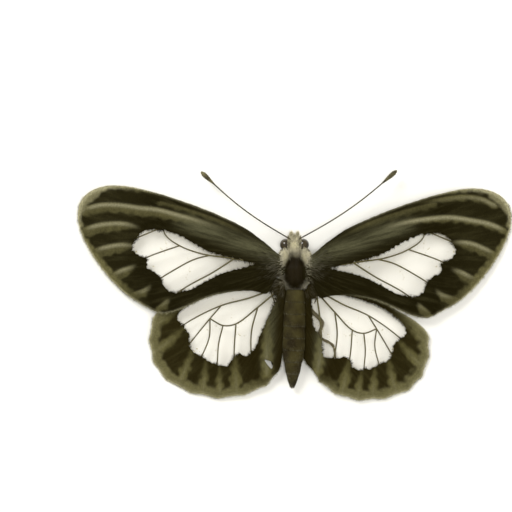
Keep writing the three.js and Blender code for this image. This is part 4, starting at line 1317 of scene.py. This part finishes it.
class BUTTERFLY_OT_antennae(bpy.types.Operator):
    """Makes the two ringed antennae with their clubs"""

    bl_idname = "butterfly.antennae"
    bl_label = "Antennae"

    def execute(self, context):
        colours = context.scene.butterfly_colours
        shaft = cuticle("Antenna cuticle", colours.cuticle, linear("#4b4630"), 0.5, 2200.0)
        club = cuticle("Antenna club cuticle", linear("#3d3826"), linear("#77714f"), 0.55, 2200.0)
        for side, sign in SIGNS.items():
            root = np.array([HEAD_AT[0] + sign * 0.8, 7.0, 4.9])
            tip = np.array([sign * ANTENNA_TIP[side][0], ANTENNA_TIP[side][1], 3.6])
            way = tip - root
            share = np.linspace(0, 1, 261)
            bow = np.sin(math.pi * share)[:, None] * np.array([sign * 0.55, -0.85, 0.7])
            path = root + way * share[:, None] + bow
            rings = (share * ANTENNA_RINGS) % 1.0
            groove = 1 - 0.2 * np.exp(-((np.minimum(rings, 1 - rings) / 0.14) ** 2))
            end = np.sqrt(np.clip((1.004 - share) / 0.035, 0, 1))
            swelling = 0.15 + 0.41 * eased(share, 0.82, 0.95)
            radii = np.maximum(0.04, swelling * groove * np.where(share > 0.965, end, 1))
            points, faces = swept(path, radii, 12)
            # The skin of the club begins about 3.5 mm before the tip.
            slots = [int(points[list(face)].mean(axis=0) @ way > tip @ way - 95) for face in faces]
            mesh = mesh_from(f"antenna_{side}_shaft", [(points, faces, {"slot": slots})])
            piece(f"antenna_{side}_shaft", mesh, (shaft, club), (f"antenna_{side}",))
        return {"FINISHED"}


def leg_parts(name, side):
    """A leg from hip to claws, with swollen joints and a tarsus of short rings."""
    stations = np.array(LEGS.get(name, LEGS.get(f"{name}_{side}")), float)
    radii = np.array(LEG_RADII.get(name, LEG_RADII["foreleg"]))
    knee = len(radii) - 4
    stations[:, 2] = np.maximum(stations[:, 2], radii + 0.05)
    stations[:, 0] *= SIGNS[side]
    share = np.linspace(0, 1, 121)
    path = curve_at(stations, False, share)
    at = share * (len(stations) - 1)
    thick = np.interp(at, np.arange(len(radii)), 0.84 * radii)
    joints = sum(0.06 * np.exp(-(((at - j) / 0.06) ** 2)) for j in (knee, knee + 1))
    rings = np.where(at > knee + 1.05, 0.03 * np.cos((at - knee) * 5 * math.pi), 0)
    radius = thick + joints + rings
    path[:, 2] = np.maximum(path[:, 2], radius + 0.02)
    parts = [(*swept(path, radius, 14), {})]
    end, way = path[-1], path[-1] - path[-5]
    way /= np.linalg.norm(way)
    sideways = np.cross(way, [0, 0, 1])
    for sign in (-1, 1):
        reach = np.linspace(0, 1, 9)[:, None]
        claw = end + way * 0.45 * reach + sign * sideways * 0.16 * np.sin(reach * 2.2)
        claw = claw + [0, 0, 0.03] * np.sin(reach * 3)
        claw[:, 2] = np.maximum(claw[:, 2], 0.06)
        parts.append((*swept(claw, 0.055 * (1 - 0.8 * reach[:, 0]), 6), {}))
    return parts


class BUTTERFLY_OT_legs(bpy.types.Operator):
    """Makes the six folded legs with their bristles and claws"""

    bl_idname = "butterfly.legs"
    bl_label = "Legs"

    def execute(self, context):
        colours, coat = context.scene.butterfly_colours, context.scene.butterfly_coat
        skin = cuticle("Leg chitin", colours.cuticle, linear("#3a311b"), 0.45, 1800.0)
        bristle = hair("Leg bristles", colours.cuticle, colours.grey_hair)
        fur = strand_tree("Leg bristles", False)
        for name in ("foreleg", "midleg", "hindleg"):
            for side in SIGNS:
                node, parts = f"{name}_{side}", leg_parts(name, side)
                piece(node + "_joints", mesh_from(node + "_joints", parts), (skin,), (node,))

                # The bristles lean towards the foot. The claws, which are the last parts, have none.
                hip, foot = np.array(LEGS.get(name, LEGS.get(node)))[[0, -1]] * [SIGNS[side], 1, 1]
                lean = 0.8 * (foot - hip) / np.linalg.norm(foot - hip)

                def note(points):
                    high = np.clip((points[:, 2] - 0.25) / 0.3, 0, 1)
                    return coat_notes(points, np.tile(lean, (len(points), 1)), 1.0, high, 0.35)

                host = mesh_from(node + "_host", with_notes(parts[:1], note))
                grown(
                    node + "_bristles", host, fur, "leg", amount=14 / MM**2, length=0.4 * MM,
                    width=0.045 * MM, spread=0.4, splay=0.25, lift=0.6, seed=coat.seed, material=bristle,
                )
        return {"FINISHED"}


# Stage


class BUTTERFLY_OT_stage(bpy.types.Operator):
    """Makes the pale floor, the soft studio light and the camera that looks straight down"""

    bl_idname = "butterfly.stage"
    bl_label = "Stage"

    def execute(self, context):
        scene, colours = context.scene, context.scene.butterfly_colours
        mesh = bpy.data.meshes.new("floor")
        corners = [(-1.5, -1.5, 0), (1.5, -1.5, 0), (1.5, 1.5, 0), (-1.5, 1.5, 0)]
        mesh.from_pydata(corners, [], [(0, 1, 2, 3)])
        floor = bpy.data.objects.new("floor", mesh)
        mesh.materials.append(pale_floor(colours))
        scene.collection.objects.link(floor)

        world = bpy.data.worlds.new("Studio")
        world.use_nodes = True
        background = world.node_tree.nodes["Background"]
        background.inputs["Color"].default_value = (1.0, 0.99, 0.97, 1.0)
        background.inputs["Strength"].default_value = 0.42
        scene.world = world
        scene.view_settings.view_transform = "Standard"

        for name, place, size, power in LAMPS:
            light = bpy.data.lights.new(name, "AREA")
            light.shape, light.size, light.energy = "DISK", size, power
            lamp = bpy.data.objects.new(name, light)
            lamp.location = place
            # Only the key light leaves a highlight, one on each eye.
            lamp.visible_glossy = name == "Key"
            x, y, z = place
            lamp.rotation_euler = (math.atan2(math.hypot(x, y), z), 0, math.atan2(x, -y))
            scene.collection.objects.link(lamp)

        data = bpy.data.cameras.new("Camera")
        data.sensor_width = 36.0
        # The width of the view holds 3 mm above the floor, at the middle of the body's height.
        data.lens = data.sensor_width * (CAMERA_HIGH - 3.0) / VIEW_WIDE
        data.clip_start, data.clip_end = 0.01, 10.0
        camera = bpy.data.objects.new("Camera", data)
        camera.location = (VIEW_AT[0] * MM, VIEW_AT[1] * MM, CAMERA_HIGH * MM)
        scene.collection.objects.link(camera)
        scene.camera = camera
        return {"FINISHED"}


STEPS = (
    BUTTERFLY_OT_stage, BUTTERFLY_OT_wings, BUTTERFLY_OT_fringes, BUTTERFLY_OT_thorax, BUTTERFLY_OT_head,
    BUTTERFLY_OT_abdomen, BUTTERFLY_OT_antennae, BUTTERFLY_OT_legs,
)


class BUTTERFLY_PT_specimen(bpy.types.Panel):
    """Lists the steps that build the butterfly, and its sizes and colours"""

    bl_label = "Spread Butterfly"
    bl_idname = "BUTTERFLY_PT_specimen"
    bl_space_type = "VIEW_3D"
    bl_region_type = "UI"
    bl_category = "Butterfly"

    def draw(self, context):
        for step in STEPS:
            self.layout.operator(step.bl_idname)
        scene = context.scene
        for group in (scene.butterfly_wings, scene.butterfly_coat, scene.butterfly_colours):
            box = self.layout.box()
            for name in group.__annotations__:
                box.prop(group, name)


CLASSES = (WingSizes, CoatSizes, SpecimenColours, *STEPS, BUTTERFLY_PT_specimen)


def register():
    for cls in CLASSES:
        bpy.utils.register_class(cls)
    bpy.types.Scene.butterfly_wings = PointerProperty(type=WingSizes)
    bpy.types.Scene.butterfly_coat = PointerProperty(type=CoatSizes)
    bpy.types.Scene.butterfly_colours = PointerProperty(type=SpecimenColours)


def unregister():
    del bpy.types.Scene.butterfly_colours
    del bpy.types.Scene.butterfly_coat
    del bpy.types.Scene.butterfly_wings
    for cls in reversed(CLASSES):
        bpy.utils.unregister_class(cls)


def main():
    register()
    for step in STEPS:
        area, name = step.bl_idname.split(".")
        getattr(getattr(bpy.ops, area), name)()


if __name__ == "__main__":
    main()
